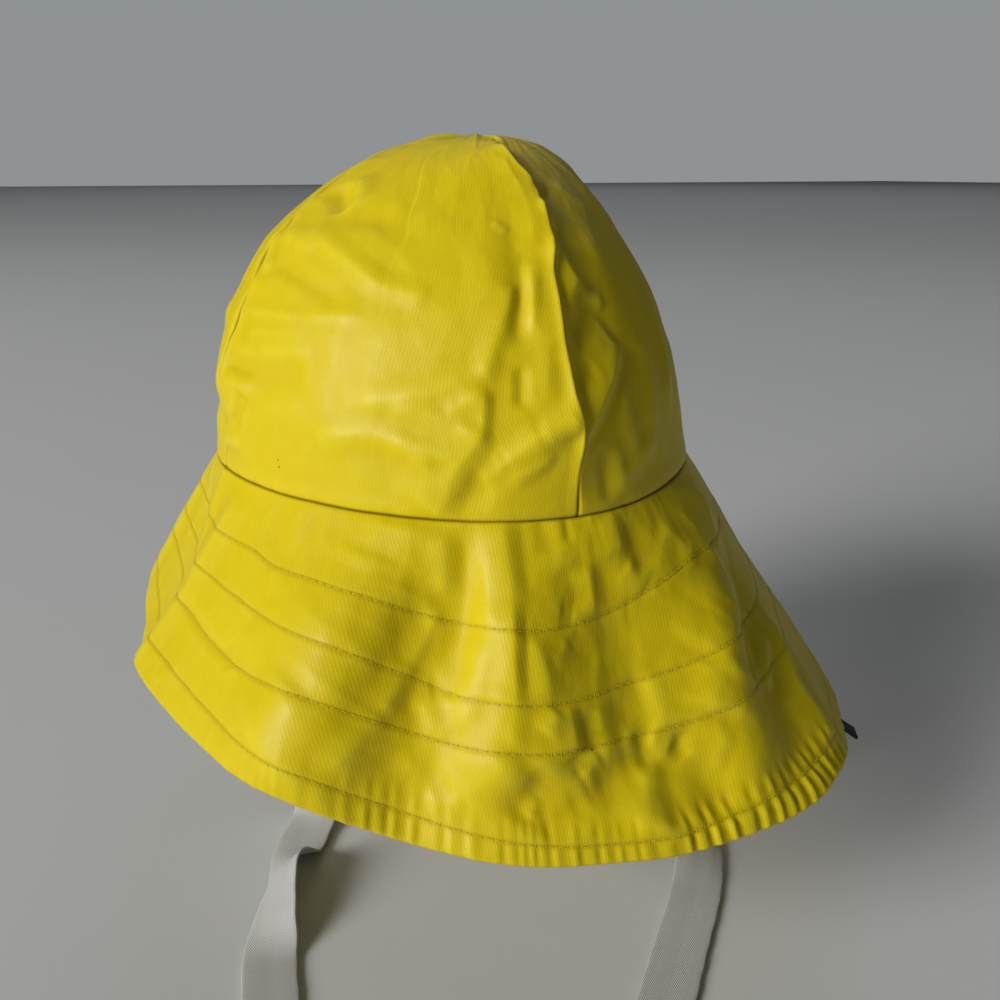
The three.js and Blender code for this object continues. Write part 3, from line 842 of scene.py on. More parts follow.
@dataclass(frozen=True)
class CrownCloth:
    """The crown's outer face with its seams, tucks and crumples.

    A keel is how far the cloth stands up beside a seam. The back seam's keel falls off more steeply
    towards the wearer's right, where the cloth tucks under.
    """

    form: HatForm
    seam_depth: float = 0.0009
    seam_width: float = 0.0007
    edge_depth: float = 0.0006
    edge_width: float = 0.0005
    roll_height: float = 0.0002
    roll_place: float = 0.003
    roll_width: float = 0.002
    keels: tuple[float, float, float, float] = (0.0055, 0.0018, 0.002, 0.0022)
    keel_width: float = 0.016
    keel_steep: float = 1.9
    keel_foot: tuple[float, float] = (-0.02, 0.14)
    keel_top: tuple[float, float] = (0.04, 0.3)
    seam_shift: float = 3.1
    tuck_reach: float = 0.0028
    tuck_depth: float = 0.00045
    tuck_pitch: float = 0.011
    tuck_under: float = 0.0019
    crumple_depth: float = 0.001
    crumple_radius: float = 0.093
    crumples: CrumpledCloth = CrumpledCloth(
        wide=CrumpleSize(21, 0.026, 0.03, 0.75),
        middle=CrumpleSize(22, 0.012, 0.014, 0.3, shift_across=0.3),
        small=CrumpleSize(24, 0.0065, 0.0075, 0.13, shift_along=0.4),
        fine_seed=23,
        fine_size=0.006,
        patch_seed=25,
    )

    def seam_places(self, height: Array) -> list[Array]:
        """Azimuths of the back, left, front and right seams at these heights."""
        sways = np.array(SEAM_SWAYS)
        places = [np.full_like(height, azimuth) for azimuth in self.form.seams]
        for i in (0, 1):
            places[i] = places[i] + monotone(sways[:, 0], sways[:, i + 1], height)
        return places

    def relief(self, azimuth: Array, height: Array) -> Array:
        """How far the cloth stands out of the crown's plain form."""
        form = self.form
        base = form.crown(azimuth, height)
        spread = form.crown_table.column(1, height)
        radius = spread * (form.head_length + form.head_width) / 4
        beside = wrap(azimuth[..., None] - np.stack(self.seam_places(height), -1))
        nearest = np.abs(beside).argmin(-1)
        side = np.sign(np.take_along_axis(beside, nearest[..., None], -1)[..., 0])
        from_seam = np.abs(beside).min(-1) * np.radians(1) * radius
        from_brim = height * form.crown_length

        relief = -self.seam_depth * np.exp(-((from_seam / self.seam_width) ** 1.5))
        relief -= self.edge_depth * np.exp(-from_brim / self.edge_width)
        relief += self.roll_height * np.exp(-(((from_brim - self.roll_place) / self.roll_width) ** 2))
        right_of_back = (nearest == 0) & (side < 0)
        steep = np.where(right_of_back, self.keel_steep, 1.0)
        keel = np.array(self.keels)[nearest] * np.exp(-from_seam * steep / self.keel_width)
        relief += keel * smoothstep(height, *self.keel_foot) * smoothstep(1 - height, *self.keel_top)
        near = from_seam / self.tuck_reach
        under = near * np.exp(1 - near) * right_of_back
        relief -= self.tuck_under * under * smoothstep(height, 0.0, 0.2) * smoothstep(0.9 - height, 0, 0.2)
        along = on_lattice(from_brim / self.tuck_pitch, nearest * self.seam_shift + side)
        gather = Crumple(11).smooth(along) + 0.6 * Crumple(12).smooth(along * 2.3)
        relief += self.tuck_depth * (gather + 0.1) * near * np.exp(1 - near)

        across = np.radians(wrap(azimuth)) * self.crumple_radius
        crumple = self.crumples.relief(across, from_brim, base)
        relief += self.crumple_depth * crumple * (0.2 + 0.8 * fade_at_front(azimuth))
        length = np.full_like(radius, form.crown_length)
        return relief + crease_relief(CROWN_CREASES, azimuth, height, radius, length)

    def surface(self, azimuth: Array, height: Array, relief: Array) -> Array:
        """The crown's outer face at these places, standing out by this much."""
        base = self.form.crown(azimuth, height)
        out = HatForm.normals(self.form.crown, azimuth, height, True)
        return base + out * (relief * smoothstep(1 - height, 0.0, 0.06))[..., None]


@dataclass(frozen=True)
class BrimCloth:
    """The brim's upper face with its stitched rows, gathered hem and creases."""

    form: HatForm
    edge_depth: float = 0.0005
    edge_width: float = 0.0005
    row_depth: float = 0.00024
    row_width: float = 0.0008
    gather_depth: float = 0.00026
    gather_pitch: float = 0.0065
    gather_reach: float = 0.004
    hem_pitch: float = 0.0047
    hem_drift: tuple[float, float] = (0.014, 0.03)
    hem_strength: float = 0.6
    shoulder: float = 0.0035
    crumple_depth: float = 0.0011
    mean_radius: float = 0.125
    cut_apex: float = 0.18
    cut_turn: float = 0.528
    crumples: CrumpledCloth = CrumpledCloth(
        wide=CrumpleSize(51, 0.024, 0.036, 0.7),
        middle=CrumpleSize(52, 0.012, 0.017, 0.34, shift_across=0.7),
        small=CrumpleSize(54, 0.0065, 0.008, 0.14, shift_along=0.2),
        fine_seed=53,
        fine_size=0.0055,
        patch_seed=55,
    )

    def rows(self, azimuth: Array) -> Array:
        """Shares of the four rows of stitches at these azimuths, in a last axis."""
        at = wrap(azimuth)
        return np.stack([self.form.row_table.column(i, at) for i in range(4)], -1)

    def _hem(self, azimuth: Array, travel: Array, inside: Array, width: Array) -> Array:
        """Gathers of the folded hem, which also pull at the cloth just above it.

        Args:
            azimuth: Azimuth of each place.
            travel: Distance round the brim, in metres.
            inside: Distance below the row of stitches that holds the hem.
            width: Width of the hem.

        Returns:
            How far the cloth stands out, in metres.
        """
        depth = self.form.pucker_table.column(0, wrap(azimuth)) * MM
        place = on_lattice(travel / self.hem_drift[0], inside / self.hem_drift[1])
        phase = travel / self.hem_pitch + 0.9 * Crumple(41).smooth(place)
        wave = np.cos(2 * np.pi * phase) + 0.35 * np.cos(2 * np.pi * (1.7 * phase + 0.3))
        strength = np.where(inside > 0, np.sin(np.pi * np.clip(inside / width, 0, 0.72)) ** 0.7, 0)
        strength = strength + 0.55 * np.exp(-((inside + self.shoulder) / self.shoulder) ** 2)
        uneven = 0.65 + 0.35 * Crumple(42).smooth(place * 0.6)
        return depth * self.hem_strength * wave * strength * uneven

    def relief(self, azimuth: Array, down: Array) -> Array:
        """How far the cloth stands out of the brim's plain form."""
        form = self.form
        base = form.brim(azimuth, down)
        radius = np.linalg.norm(base[..., :2], axis=-1)
        run = form.brim_run(azimuth)
        travel = np.radians(wrap(azimuth)) * self.mean_radius
        from_seam = down * run

        relief = -self.edge_depth * np.exp(-from_seam / self.edge_width)
        rows = self.rows(azimuth)
        for i in range(4):
            beside = (down - rows[..., i]) * run
            relief -= self.row_depth * np.exp(-((beside / self.row_width) ** 2))
            gather = Crumple(31 + i).smooth(on_lattice(travel / self.gather_pitch, 5.0 * i))
            relief += self.gather_depth * gather * np.exp(-np.abs(beside) / self.gather_reach)
        hem = rows[..., 3]
        relief += self._hem(azimuth, travel, (down - hem) * run, (1 - hem) * run)
        crumple = self.crumples.relief(travel, from_seam, base)
        relief += self.crumple_depth * crumple * fade_at_front(azimuth)
        return relief + crease_relief(BRIM_CREASES, azimuth, down, radius, run)

    def surface(self, azimuth: Array, down: Array, relief: Array) -> Array:
        """The brim's upper face at these places, standing out by this much."""
        out = HatForm.normals(self.form.brim, azimuth, down, False)
        return self.form.brim(azimuth, down) + out * relief[..., None]

    def cut(self, azimuth: Array, down: Array) -> Array:
        """Places on the flat piece that the brim is cut from, in metres along and across the grain."""
        turn = np.radians(wrap(azimuth)) * self.cut_turn
        length = self.cut_apex + down * self.form.brim_length
        return np.stack([length * np.sin(turn), length * np.cos(turn)], -1)


@dataclass
class ClothMesh:
    """Gathers grids of points into one mesh with cloth coordinates and painted tags."""

    points: list[Array] = field(default_factory=list)
    cloth: list[Array] = field(default_factory=list)
    tags: list[Array] = field(default_factory=list)
    faces: list[Array] = field(default_factory=list)
    slots: list[Array] = field(default_factory=list)
    count: int = 0

    def add_grid(
        self,
        points: Array,
        cloth: Array,
        tags: Array | None = None,
        closed: bool = False,
        flip: bool = False,
        slot: int = 0,
    ) -> None:
        """Adds a grid of quads.

        Args:
            points: Columns by rows of positions.
            cloth: Two cloth coordinates for each point.
            tags: Three painted numbers for each point, or None for zeros.
            closed: True where the last column joins the first.
            flip: True to turn the faces over.
            slot: Material slot of the faces.
        """
        columns, rows = points.shape[:2]
        index = self.count + np.arange(columns * rows).reshape(columns, rows)
        if closed:
            index = np.vstack([index, index[:1]])
        quads = np.stack([index[:-1, :-1], index[1:, :-1], index[1:, 1:], index[:-1, 1:]], -1)
        quads = quads.reshape(-1, 4)
        self.faces.append(quads[:, ::-1] if flip else quads)
        self.slots.append(np.full(len(quads), slot))
        self.points.append(points.reshape(-1, 3))
        self.cloth.append(cloth.reshape(-1, 2))
        self.tags.append(np.zeros((columns * rows, 3)) if tags is None else tags.reshape(-1, 3))
        self.count += columns * rows

    def build(self, name: str, finishes: Sequence[bpy.types.Material]) -> bpy.types.Object:
        """Makes the object.

        Args:
            name: Name of the object and its mesh.
            finishes: Materials of its slots.

        Returns:
            The object, linked to the scene and shaded smooth.
        """
        mesh = bpy.data.meshes.new(name)
        faces = np.concatenate(self.faces)
        mesh.from_pydata(np.concatenate(self.points).tolist(), [], faces.tolist())
        cloth, tags = np.concatenate(self.cloth), np.concatenate(self.tags)
        corners = np.empty(len(mesh.loops), np.int32)
        mesh.loops.foreach_get("vertex_index", corners)
        layer = mesh.uv_layers.new(name="cloth")
        layer.uv.foreach_set("vector", cloth[corners].astype(np.float32).ravel())
        painted = mesh.color_attributes.new("relief", "FLOAT_COLOR", "POINT")
        colours = np.concatenate([tags, np.ones((len(tags), 1))], 1)
        painted.data.foreach_set("color", colours.astype(np.float32).ravel())
        mesh.polygons.foreach_set("material_index", np.concatenate(self.slots).astype(np.int32))
        mesh.polygons.foreach_set("use_smooth", np.ones(len(faces), bool))
        for finish in finishes:
            mesh.materials.append(finish)
        mesh.update()
        return put_in_scene(name, mesh)


def relief_tags(relief: Array, seam: Array, closed: bool) -> Array:
    """Painted numbers of a grid: crests, hollows and seam lines, which the coating's colour uses for a
    painted highlight on crests and painted shade in hollows and seam lines.

    Args:
        relief: How far each point stands out, columns by rows.
        seam: Closeness to a seam or row of stitches, from 0 to 1.
        closed: True where the last column joins the first.

    Returns:
        Three numbers from 0 to 1 for each point.
    """
    mean = relief.copy()
    sides = "wrap" if closed else "edge"
    for _ in range(SMOOTHING_ROUNDS):
        wide = np.pad(mean, ((1, 1), (0, 0)), mode=sides)
        tall = np.pad((wide[:-2] + wide[1:-1] + wide[2:]) / 3, ((0, 0), (1, 1)), mode="edge")
        mean = (tall[:, :-2] + tall[:, 1:-1] + tall[:, 2:]) / 3
    bump = (relief - mean) / FULL_BUMP
    return np.stack([np.clip(bump, 0, 1), np.clip(-bump, 0, 1), seam], -1)


class Kind(Enum):
    """What a link in a material carries."""

    VALUE = "value"
    VECTOR = "vector"
    COLOUR = "colour"


Number = float | int
Colour = tuple[float, float, float]


@dataclass(frozen=True)
class Link:
    """A value, vector or colour on its way through a material. Arithmetic on it adds nodes."""

    shader: "Shader"
    socket: bpy.types.NodeSocket
    kind: Kind = Kind.VALUE

    def _join(self, operation: str, first: "Term", second: "Term") -> "Link":
        """Adds the node that joins two terms in the way their kinds need."""
        kinds = {term.kind for term in (first, second) if isinstance(term, Link)}
        if Kind.COLOUR in kinds:
            return self.shader.mix_colours(operation, first, second)
        if Kind.VECTOR in kinds:
            settings = {"operation": operation}
            return self.shader.node("ShaderNodeVectorMath", settings, {0: first, 1: second}, 0, Kind.VECTOR)
        return self.shader.node("ShaderNodeMath", {"operation": operation}, {0: first, 1: second})

    def __add__(self, other: "Term") -> "Link":
        """Sum."""
        return self._join("ADD", self, other)

    def __radd__(self, other: "Term") -> "Link":
        """Sum with this on the right."""
        return self._join("ADD", other, self)

    def __sub__(self, other: "Term") -> "Link":
        """Difference."""
        return self._join("SUBTRACT", self, other)

    def __rsub__(self, other: "Term") -> "Link":
        """Difference with this on the right."""
        return self._join("SUBTRACT", other, self)

    def __mul__(self, other: "Term") -> "Link":
        """Product."""
        return self._join("MULTIPLY", self, other)

    def __rmul__(self, other: "Term") -> "Link":
        """Product with this on the right."""
        return self._join("MULTIPLY", other, self)

    def __truediv__(self, other: "Term") -> "Link":
        """Quotient."""
        return self._join("DIVIDE", self, other)

    def __rtruediv__(self, other: "Term") -> "Link":
        """Quotient with this on the right."""
        return self._join("DIVIDE", other, self)

    def __abs__(self) -> "Link":
        """Size without its sign."""
        return self.shader.node("ShaderNodeMath", {"operation": "ABSOLUTE"}, {0: self})

    def sine(self) -> "Link":
        """Sine of the value in radians."""
        return self.shader.node("ShaderNodeMath", {"operation": "SINE"}, {0: self})

    def ribs(self, pitch: float, offset: "Term | None" = None) -> "Link":
        """Even ribs from 0 to 1 along this length.

        Args:
            pitch: Distance from one rib to the next, in metres.
            offset: Shift of the ribs in radians, if any.

        Returns:
            The height of the ribs.
        """
        angle = self * (2 * math.pi / pitch)
        return (angle if offset is None else angle + offset).sine() * 0.5 + 0.5

    def fraction(self) -> "Link":
        """Part after the decimal point."""
        return self.shader.node("ShaderNodeMath", {"operation": "FRACT"}, {0: self})

    def steps(self, low: Number, high: Number) -> "Link":
        """Smooth rise from 0 at low to 1 at high."""
        settings = {"interpolation_type": "SMOOTHSTEP"}
        return self.shader.node("ShaderNodeMapRange", settings, {0: self, 1: low, 2: high})


Term = Link | Number | Colour


class Shader:
    """A material that is written as expressions."""

    def __init__(self, name: str) -> None:
        """Starts an empty material of that name."""
        self.material = bpy.data.materials.new(name)
        self.material.use_nodes = True
        self.tree = self.material.node_tree
        self.tree.nodes.clear()

    def _feed(self, socket: bpy.types.NodeSocket, term: Term) -> None:
        """Links a term to a socket, or sets the socket to it."""
        if isinstance(term, Link):
            self.tree.links.new(term.socket, socket)
        elif socket.type == "RGBA" and isinstance(term, tuple):
            socket.default_value = (*term, 1.0)
        else:
            socket.default_value = term

    def add(
        self,
        kind: str,
        settings: Mapping[str, str | bool] | None = None,
        inputs: Mapping[str | int, Term] | None = None,
    ) -> bpy.types.Node:
        """Adds a node.

        Args:
            kind: Blender's name of the node type.
            settings: Properties that are set before the sockets.
            inputs: Values or links for its input sockets.

        Returns:
            The node.
        """
        made = self.tree.nodes.new(kind)
        for name, value in (settings or {}).items():
            setattr(made, name, value)
        for name, term in (inputs or {}).items():
            self._feed(made.inputs[name], term)
        return made

    def node(
        self,
        kind: str,
        settings: Mapping[str, str | bool] | None = None,
        inputs: Mapping[str | int, Term] | None = None,
        output: str | int = 0,
        carries: Kind = Kind.VALUE,
    ) -> Link:
        """Adds a node and takes one of its outputs.

        Args:
            kind: Blender's name of the node type.
            settings: Properties that are set before the sockets.
            inputs: Values or links for its input sockets.
            output: The output that is wanted.
            carries: What that output carries.

        Returns:
            The wanted output.
        """
        return Link(self, self.add(kind, settings, inputs).outputs[output], carries)

    def mix_colours(self, operation: str, first: Term, second: Term, factor: Term = 1.0) -> Link:
        """Blends two colours with the Mix node.

        Args:
            operation: Blend type, such as MULTIPLY or MIX.
            first: The lower colour.
            second: The upper colour.
            factor: How much of the blend shows.

        Returns:
            The blended colour.
        """
        def grey(term: Term) -> Term:
            """A plain number as an even colour."""
            return (term, term, term) if isinstance(term, (int, float)) else term

        settings = {"data_type": "RGBA", "blend_type": operation}
        inputs = {0: factor, 6: grey(first), 7: grey(second)}
        return self.node("ShaderNodeMix", settings, inputs, 2, Kind.COLOUR)

    def noise(self, place: Link, scale: float, detail: float = 3.0, rough: float = 0.55) -> Link:
        """Irregular values from 0 to 1."""
        inputs = {"Vector": place, "Scale": scale, "Detail": detail, "Roughness": rough}
        return self.node("ShaderNodeTexNoise", {"noise_dimensions": "3D"}, inputs, "Fac")

    def place(self) -> Link:
        """Position on the object, in metres."""
        return self.node("ShaderNodeTexCoord", None, None, "Object", Kind.VECTOR)

    def cloth(self) -> tuple[Link, Link]:
        """Cloth coordinates across and along the grain, in metres."""
        flat = self.node("ShaderNodeUVMap", {"uv_map": "cloth"}, None, "UV", Kind.VECTOR)
        split = self.add("ShaderNodeSeparateXYZ", None, {0: flat})
        return Link(self, split.outputs["X"]), Link(self, split.outputs["Y"])

    def painted(self) -> tuple[Link, Link, Link]:
        """Crests, hollows and seam lines as painted on the mesh, used for a painted highlight and painted
        shade.
        """
        paint = self.node("ShaderNodeAttribute", {"attribute_name": "relief"}, None, "Color", Kind.COLOUR)
        split = self.add("ShaderNodeSeparateColor", None, {0: paint})
        crest, hollow, seam = (Link(self, split.outputs[name]) for name in ("Red", "Green", "Blue"))
        return crest, hollow, seam

    def bump(self, height: Link, distance: float, strength: float = 1.0, over: Link | None = None) -> Link:
        """Bent normals from a height of 0 to 1."""
        inputs: dict[str | int, Term] = {"Height": height, "Distance": distance, "Strength": strength}
        if over is not None:
            inputs["Normal"] = over
        return self.node("ShaderNodeBump", None, inputs, "Normal", Kind.VECTOR)

    def finish(self, **inputs: Term) -> bpy.types.Material:
        """Ends the material in a Principled surface.

        Args:
            **inputs: Its sockets, with underscores for the spaces in their names.

        Returns:
            The material.
        """
        named = {name.replace("_", " "): term for name, term in inputs.items()}
        surface = self.node("ShaderNodeBsdfPrincipled", None, named, "BSDF")
        self.add("ShaderNodeOutputMaterial", None, {"Surface": surface})
        return self.material


@dataclass(frozen=True)
class CoatedCotton:
    """Woven cotton under a satin yellow coating that has creased, with some wear and a painted highlight on
    its crests, and painted shade in its hollows and along its seams.
    """

    name: str = "coated_cotton"
    yellow: Colour = (0.78, 0.605, 0.002)
    # Lighter colour for a painted highlight along the crests, with a little wear, and for random lighter
    # patches.
    worn_and_crest_highlight: Colour = (0.84, 0.69, 0.02)
    # Darker colour for random tone and for painted shade in the hollows.
    deep: Colour = (0.68, 0.5, 0.001)
    # Dark colour for real specks on the cloth and for painted shade along the seams and rows of stitches.
    grime_and_seam_shade: Colour = (0.14, 0.1, 0.004)
    between_threads: Colour = (0.86, 0.83, 0.7)
    rib_pitch: float = 0.0011
    pick_pitch: float = 0.0008
    strand_length: float = 3.2
    slow_scale: float = 26.0
    patch_scale: float = 70.0
    drift_scale: float = 190.0
    speck_scale: float = 330.0
    slub_scale: float = 1100.0

    def make(self) -> bpy.types.Material:
        """Builds the material."""
        shader = Shader(self.name)
        place = shader.place()
        across, along = shader.cloth()
        crest, hollow, seam = shader.painted()
        slow = shader.noise(place, self.slow_scale, 3.0)
        patch = shader.noise(place, self.patch_scale, 4.0, 0.6)
        slub = shader.noise(place, self.slub_scale, 2.0, 0.55)
        drift = shader.noise(place, self.drift_scale, 2.0, 0.5)
        inputs = {0: across / self.rib_pitch, 1: along / (self.strand_length * self.rib_pitch)}
        streaks = shader.node("ShaderNodeCombineXYZ", None, inputs, 0, Kind.VECTOR)
        strand = shader.noise(streaks, 1.0, 1.0, 0.4)

        wobble = slub * 1.1 + drift * 5.0
        rib = across.ribs(self.rib_pitch, wobble)
        pick = along.ribs(self.pick_pitch, wobble)
        weave = rib * 0.36 + strand * 0.3 + pick * 0.1 + slub * 0.34

        # Darker in the hollows: painted shade; the slow noise gives random darker tone.
        colour = shader.mix_colours("MIX", self.yellow, self.deep, (slow - 0.42) * 0.55 + hollow * 0.28)
        # Lighter along the crests: a painted highlight with a little wear; the patches give random lighter
        # tone.
        colour = shader.mix_colours("MIX", colour, self.worn_and_crest_highlight, crest * 0.45 + patch * 0.14)
        colour = shader.mix_colours("MULTIPLY", colour, self.between_threads, (1 - weave) * 0.35)
        speck = shader.noise(place, self.speck_scale, 1.0, 0.3).steps(0.815, 0.85)
        # Dark specks are real marks on the cloth; the seam lines and rows of stitches are painted shade.
        specks_and_seam_shade = seam * 0.62 + speck * 0.75
        colour = shader.mix_colours("MIX", colour, self.grime_and_seam_shade, specks_and_seam_shade)

        rough = 0.4 + slow * 0.12 + patch * 0.08 + hollow * 0.06 - crest * 0.06
        grain = shader.bump(weave, 0.0001, 0.6)
        normal = shader.bump(patch * 0.7 + slow * 0.3, 0.0012, 0.16, grain)
        return shader.finish(
            Base_Color=colour,
            Roughness=rough,
            Normal=normal,
            Specular_IOR_Level=0.24,
            Coat_Weight=0.05,
            Coat_Roughness=0.28,
        )


@dataclass(frozen=True)
class CottonBack:
    """The bare woven side of the same cloth, inside the hat."""

    name: str = "cotton_back"
    pale: Colour = (0.66, 0.56, 0.13)
    shade: Colour = (0.5, 0.4, 0.07)
    thread_pitch: float = 0.0009
    mottle_scale: float = 60.0

    def make(self) -> bpy.types.Material:
        """Builds the material."""
        shader = Shader(self.name)
        place = shader.place()
        across, along = shader.cloth()
        warp, weft = across.ribs(self.thread_pitch), along.ribs(self.thread_pitch)
        weave = warp * 0.5 + weft * 0.5
        mottle = shader.noise(place, self.mottle_scale, 4.0, 0.6)
        colour = shader.mix_colours("MIX", self.pale, self.shade, mottle * 0.8 + (1 - weave) * 0.3)
        return shader.finish(
            Base_Color=colour,
            Roughness=0.8 + mottle * 0.12,
            Normal=shader.bump(weave, 0.00012, 0.7),
            Specular_IOR_Level=0.3,
        )


@dataclass(frozen=True)
class TwillTape:
    """Off-white herringbone tape."""

    name: str = "twill_tape"
    light: Colour = (0.8, 0.805, 0.79)
    groove: Colour = (0.5, 0.505, 0.5)
    soiled: Colour = (0.9, 0.88, 0.83)
    band: float = 0.005
    slant: float = 1.5
    rib_pitch: float = 0.00125
    mottle_scale: float = 45.0
    fuzz_scale: float = 1500.0

    def make(self) -> bpy.types.Material:
        """Builds the material."""
        shader = Shader(self.name)
        place = shader.place()
        across, along = shader.cloth()
        zigzag = abs((across / (2 * self.band)).fraction() - 0.5) * (2 * self.band)
        ribs = (along + zigzag * self.slant).ribs(self.rib_pitch)
        fuzz = shader.noise(place, self.fuzz_scale, 3.0, 0.6)
        weave = ribs.steps(0.12, 0.8) * 0.8 + fuzz * 0.2
        mottle = shader.noise(place, self.mottle_scale, 3.0)
        colour = shader.mix_colours("MIX", self.groove, self.light, weave)
        colour = shader.mix_colours("MULTIPLY", colour, self.soiled, mottle * 0.7)
        return shader.finish(
            Base_Color=colour,
            Roughness=0.78 + fuzz * 0.14,
            Normal=shader.bump(weave, 0.00022, 0.8),
            Specular_IOR_Level=0.3,
            Sheen_Weight=0.15,
        )


@dataclass(frozen=True)
class DarkTape:
    """Dull black woven tape with ribs across it."""

    name: str = "dark_tape"
    black: Colour = (0.012, 0.012, 0.014)
    grey: Colour = (0.045, 0.045, 0.05)
    rib_pitch: float = 0.0008
    fuzz_scale: float = 1300.0

    def make(self) -> bpy.types.Material:
        """Builds the material."""
        shader = Shader(self.name)
        place = shader.place()
        _, along = shader.cloth()
        fuzz = shader.noise(place, self.fuzz_scale, 3.0, 0.6)
        weave = along.ribs(self.rib_pitch) * 0.75 + fuzz * 0.25
        colour = shader.mix_colours("MIX", self.black, self.grey, weave * 0.8)
        return shader.finish(
            Base_Color=colour,
            Roughness=0.62 + fuzz * 0.2,
            Normal=shader.bump(weave, 0.0002, 0.8),
        )


@dataclass(frozen=True)
class SewingThread:
    """Twisted yellow thread, a little duller than the coating."""

    name: str = "sewing_thread"
    yellow: Colour = (0.8, 0.64, 0.015)
    shade: Colour = (0.55, 0.42, 0.006)
    twist_pitch: float = 0.00045
    mottle_scale: float = 220.0

    def make(self) -> bpy.types.Material:
        """Builds the material."""
        shader = Shader(self.name)
        place = shader.place()
        across, along = shader.cloth()
        twist = (along + across * 0.5).ribs(self.twist_pitch)
        mottle = shader.noise(place, self.mottle_scale, 2.0)
        colour = shader.mix_colours("MIX", self.yellow, self.shade, (1 - twist) * 0.5 + mottle * 0.25)
        return shader.finish(
            Base_Color=colour,
            Roughness=0.5 + mottle * 0.15,
            Normal=shader.bump(twist, 0.0001, 0.7),
        )


@dataclass(frozen=True)
class PaleFloor:
    """Plain pale ground for the object to be seen on."""

    name: str = "pale_floor"
    pale: Colour = (0.78, 0.79, 0.79)
    mottled: Colour = (0.97, 0.97, 0.97)

    def make(self) -> bpy.types.Material:
        """Builds the material."""
        shader = Shader(self.name)
        mottle = shader.noise(shader.place(), 3.0, 2.0)
        colour = shader.mix_colours("MULTIPLY", self.pale, self.mottled, mottle)
        return shader.finish(Base_Color=colour, Roughness=0.85, Specular_IOR_Level=0.2)


@dataclass
class Crown:
    """Four gores with turned-in edges and a bare inner face."""

    cloth: CrownCloth
    thickness: float = 0.0016
    turn_in: float = 0.003
    columns: int = 176
    rows: int = 186
    seam_columns: int = 7
    seam_share: float = 0.025
    low_rows: int = 8
    low_share: float = 0.02
    mean_radius: float = 0.095
    line_width: float = 0.0005
    lip_drop: float = 0.0015
    names: tuple[str, ...] = (
        "crown_gore_back_left",
        "crown_gore_front_left",
        "crown_gore_front_right",
        "crown_gore_back_right",
    )

    def _cut(self, azimuth: Array, height: Array, middle: Array) -> Array:
        """Places on the flat gore, measured from its centre line."""
        spread = self.cloth.form.crown_table.column(1, height)
        across = np.radians(azimuth - middle) * spread * self.mean_radius
        return np.stack([across, height * self.cloth.form.crown_length], -1)

    def gore(self, index: int, finishes: Sequence[bpy.types.Material]) -> bpy.types.Object:
        """Builds one gore.

        Args:
            index: Its place in the names, from the back seam towards the wearer's left.
            finishes: Coated face and bare back.

        Returns:
            The gore.
        """
        cloth = self.cloth
        mesh = ClothMesh()
        side = np.linspace(0, self.seam_share, self.seam_columns + 1)[:-1]
        middle = np.linspace(self.seam_share, 1 - self.seam_share, self.columns + 1)
        across = np.concatenate([side, middle, 1 - side[::-1]])
        low_up = np.linspace(0, self.low_share, self.low_rows + 1)[:-1]
        up = np.concatenate([low_up, np.linspace(self.low_share, 1, self.rows - self.low_rows + 1)])
        ease, height = np.meshgrid(across, up, indexing="ij")
        places = cloth.seam_places(height)
        start, end = places[index], places[(index + 1) % 4] + (360 if index == 3 else 0)
        azimuth = start + (end - start) * ease
        relief = cloth.relief(azimuth, height)
        outer = cloth.surface(azimuth, height, relief)
        spread = cloth.form.crown_table.column(1, height) * self.mean_radius
        beside = np.minimum(np.radians(azimuth - start), np.radians(end - azimuth)) * spread
        low = height * cloth.form.crown_length
        # The seam tag paints the coating darker along the gore seams and the lower edge: painted shade.
        seam = np.exp(-((beside / self.line_width) ** 2)) + np.exp(-((low / self.line_width) ** 2))
        tags = relief_tags(relief, np.clip(seam, 0, 1), False)
        cut = self._cut(azimuth, height, (start + end) / 2)

        out = HatForm.normals(cloth.form.crown, azimuth, np.minimum(height, 0.98), True)
        framed, directions, tags, cut = (
            np.pad(grid, ((1, 1), (1, 0), (0, 0)), mode="edge") for grid in (outer, out, tags, cut)
        )
        framed[0] -= directions[0] * self.turn_in
        framed[-1] -= directions[-1] * self.turn_in
        framed[:, 0] -= directions[:, 0] * self.turn_in
        framed[:, 0, 2] -= self.lip_drop
        mesh.add_grid(framed, cut, tags, flip=True)

        inner_azimuth, inner_height = azimuth[::2, ::2], height[::2, ::2]
        inner = outer[::2, ::2] - out[::2, ::2] * self.thickness
        mesh.add_grid(inner, self._cut(inner_azimuth, inner_height, (start + end)[::2, ::2] / 2), slot=1)
        return mesh.build(self.names[index] + "_cloth", finishes)

    def make(self, finishes: Sequence[bpy.types.Material]) -> list[bpy.types.Object]:
        """Builds the four gores and puts them in the frame."""
        gores = []
        for index, name in enumerate(self.names):
            gore = self.gore(index, finishes)
            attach(gore, "root")
            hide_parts(name)
            gores.append(gore)
        return gores


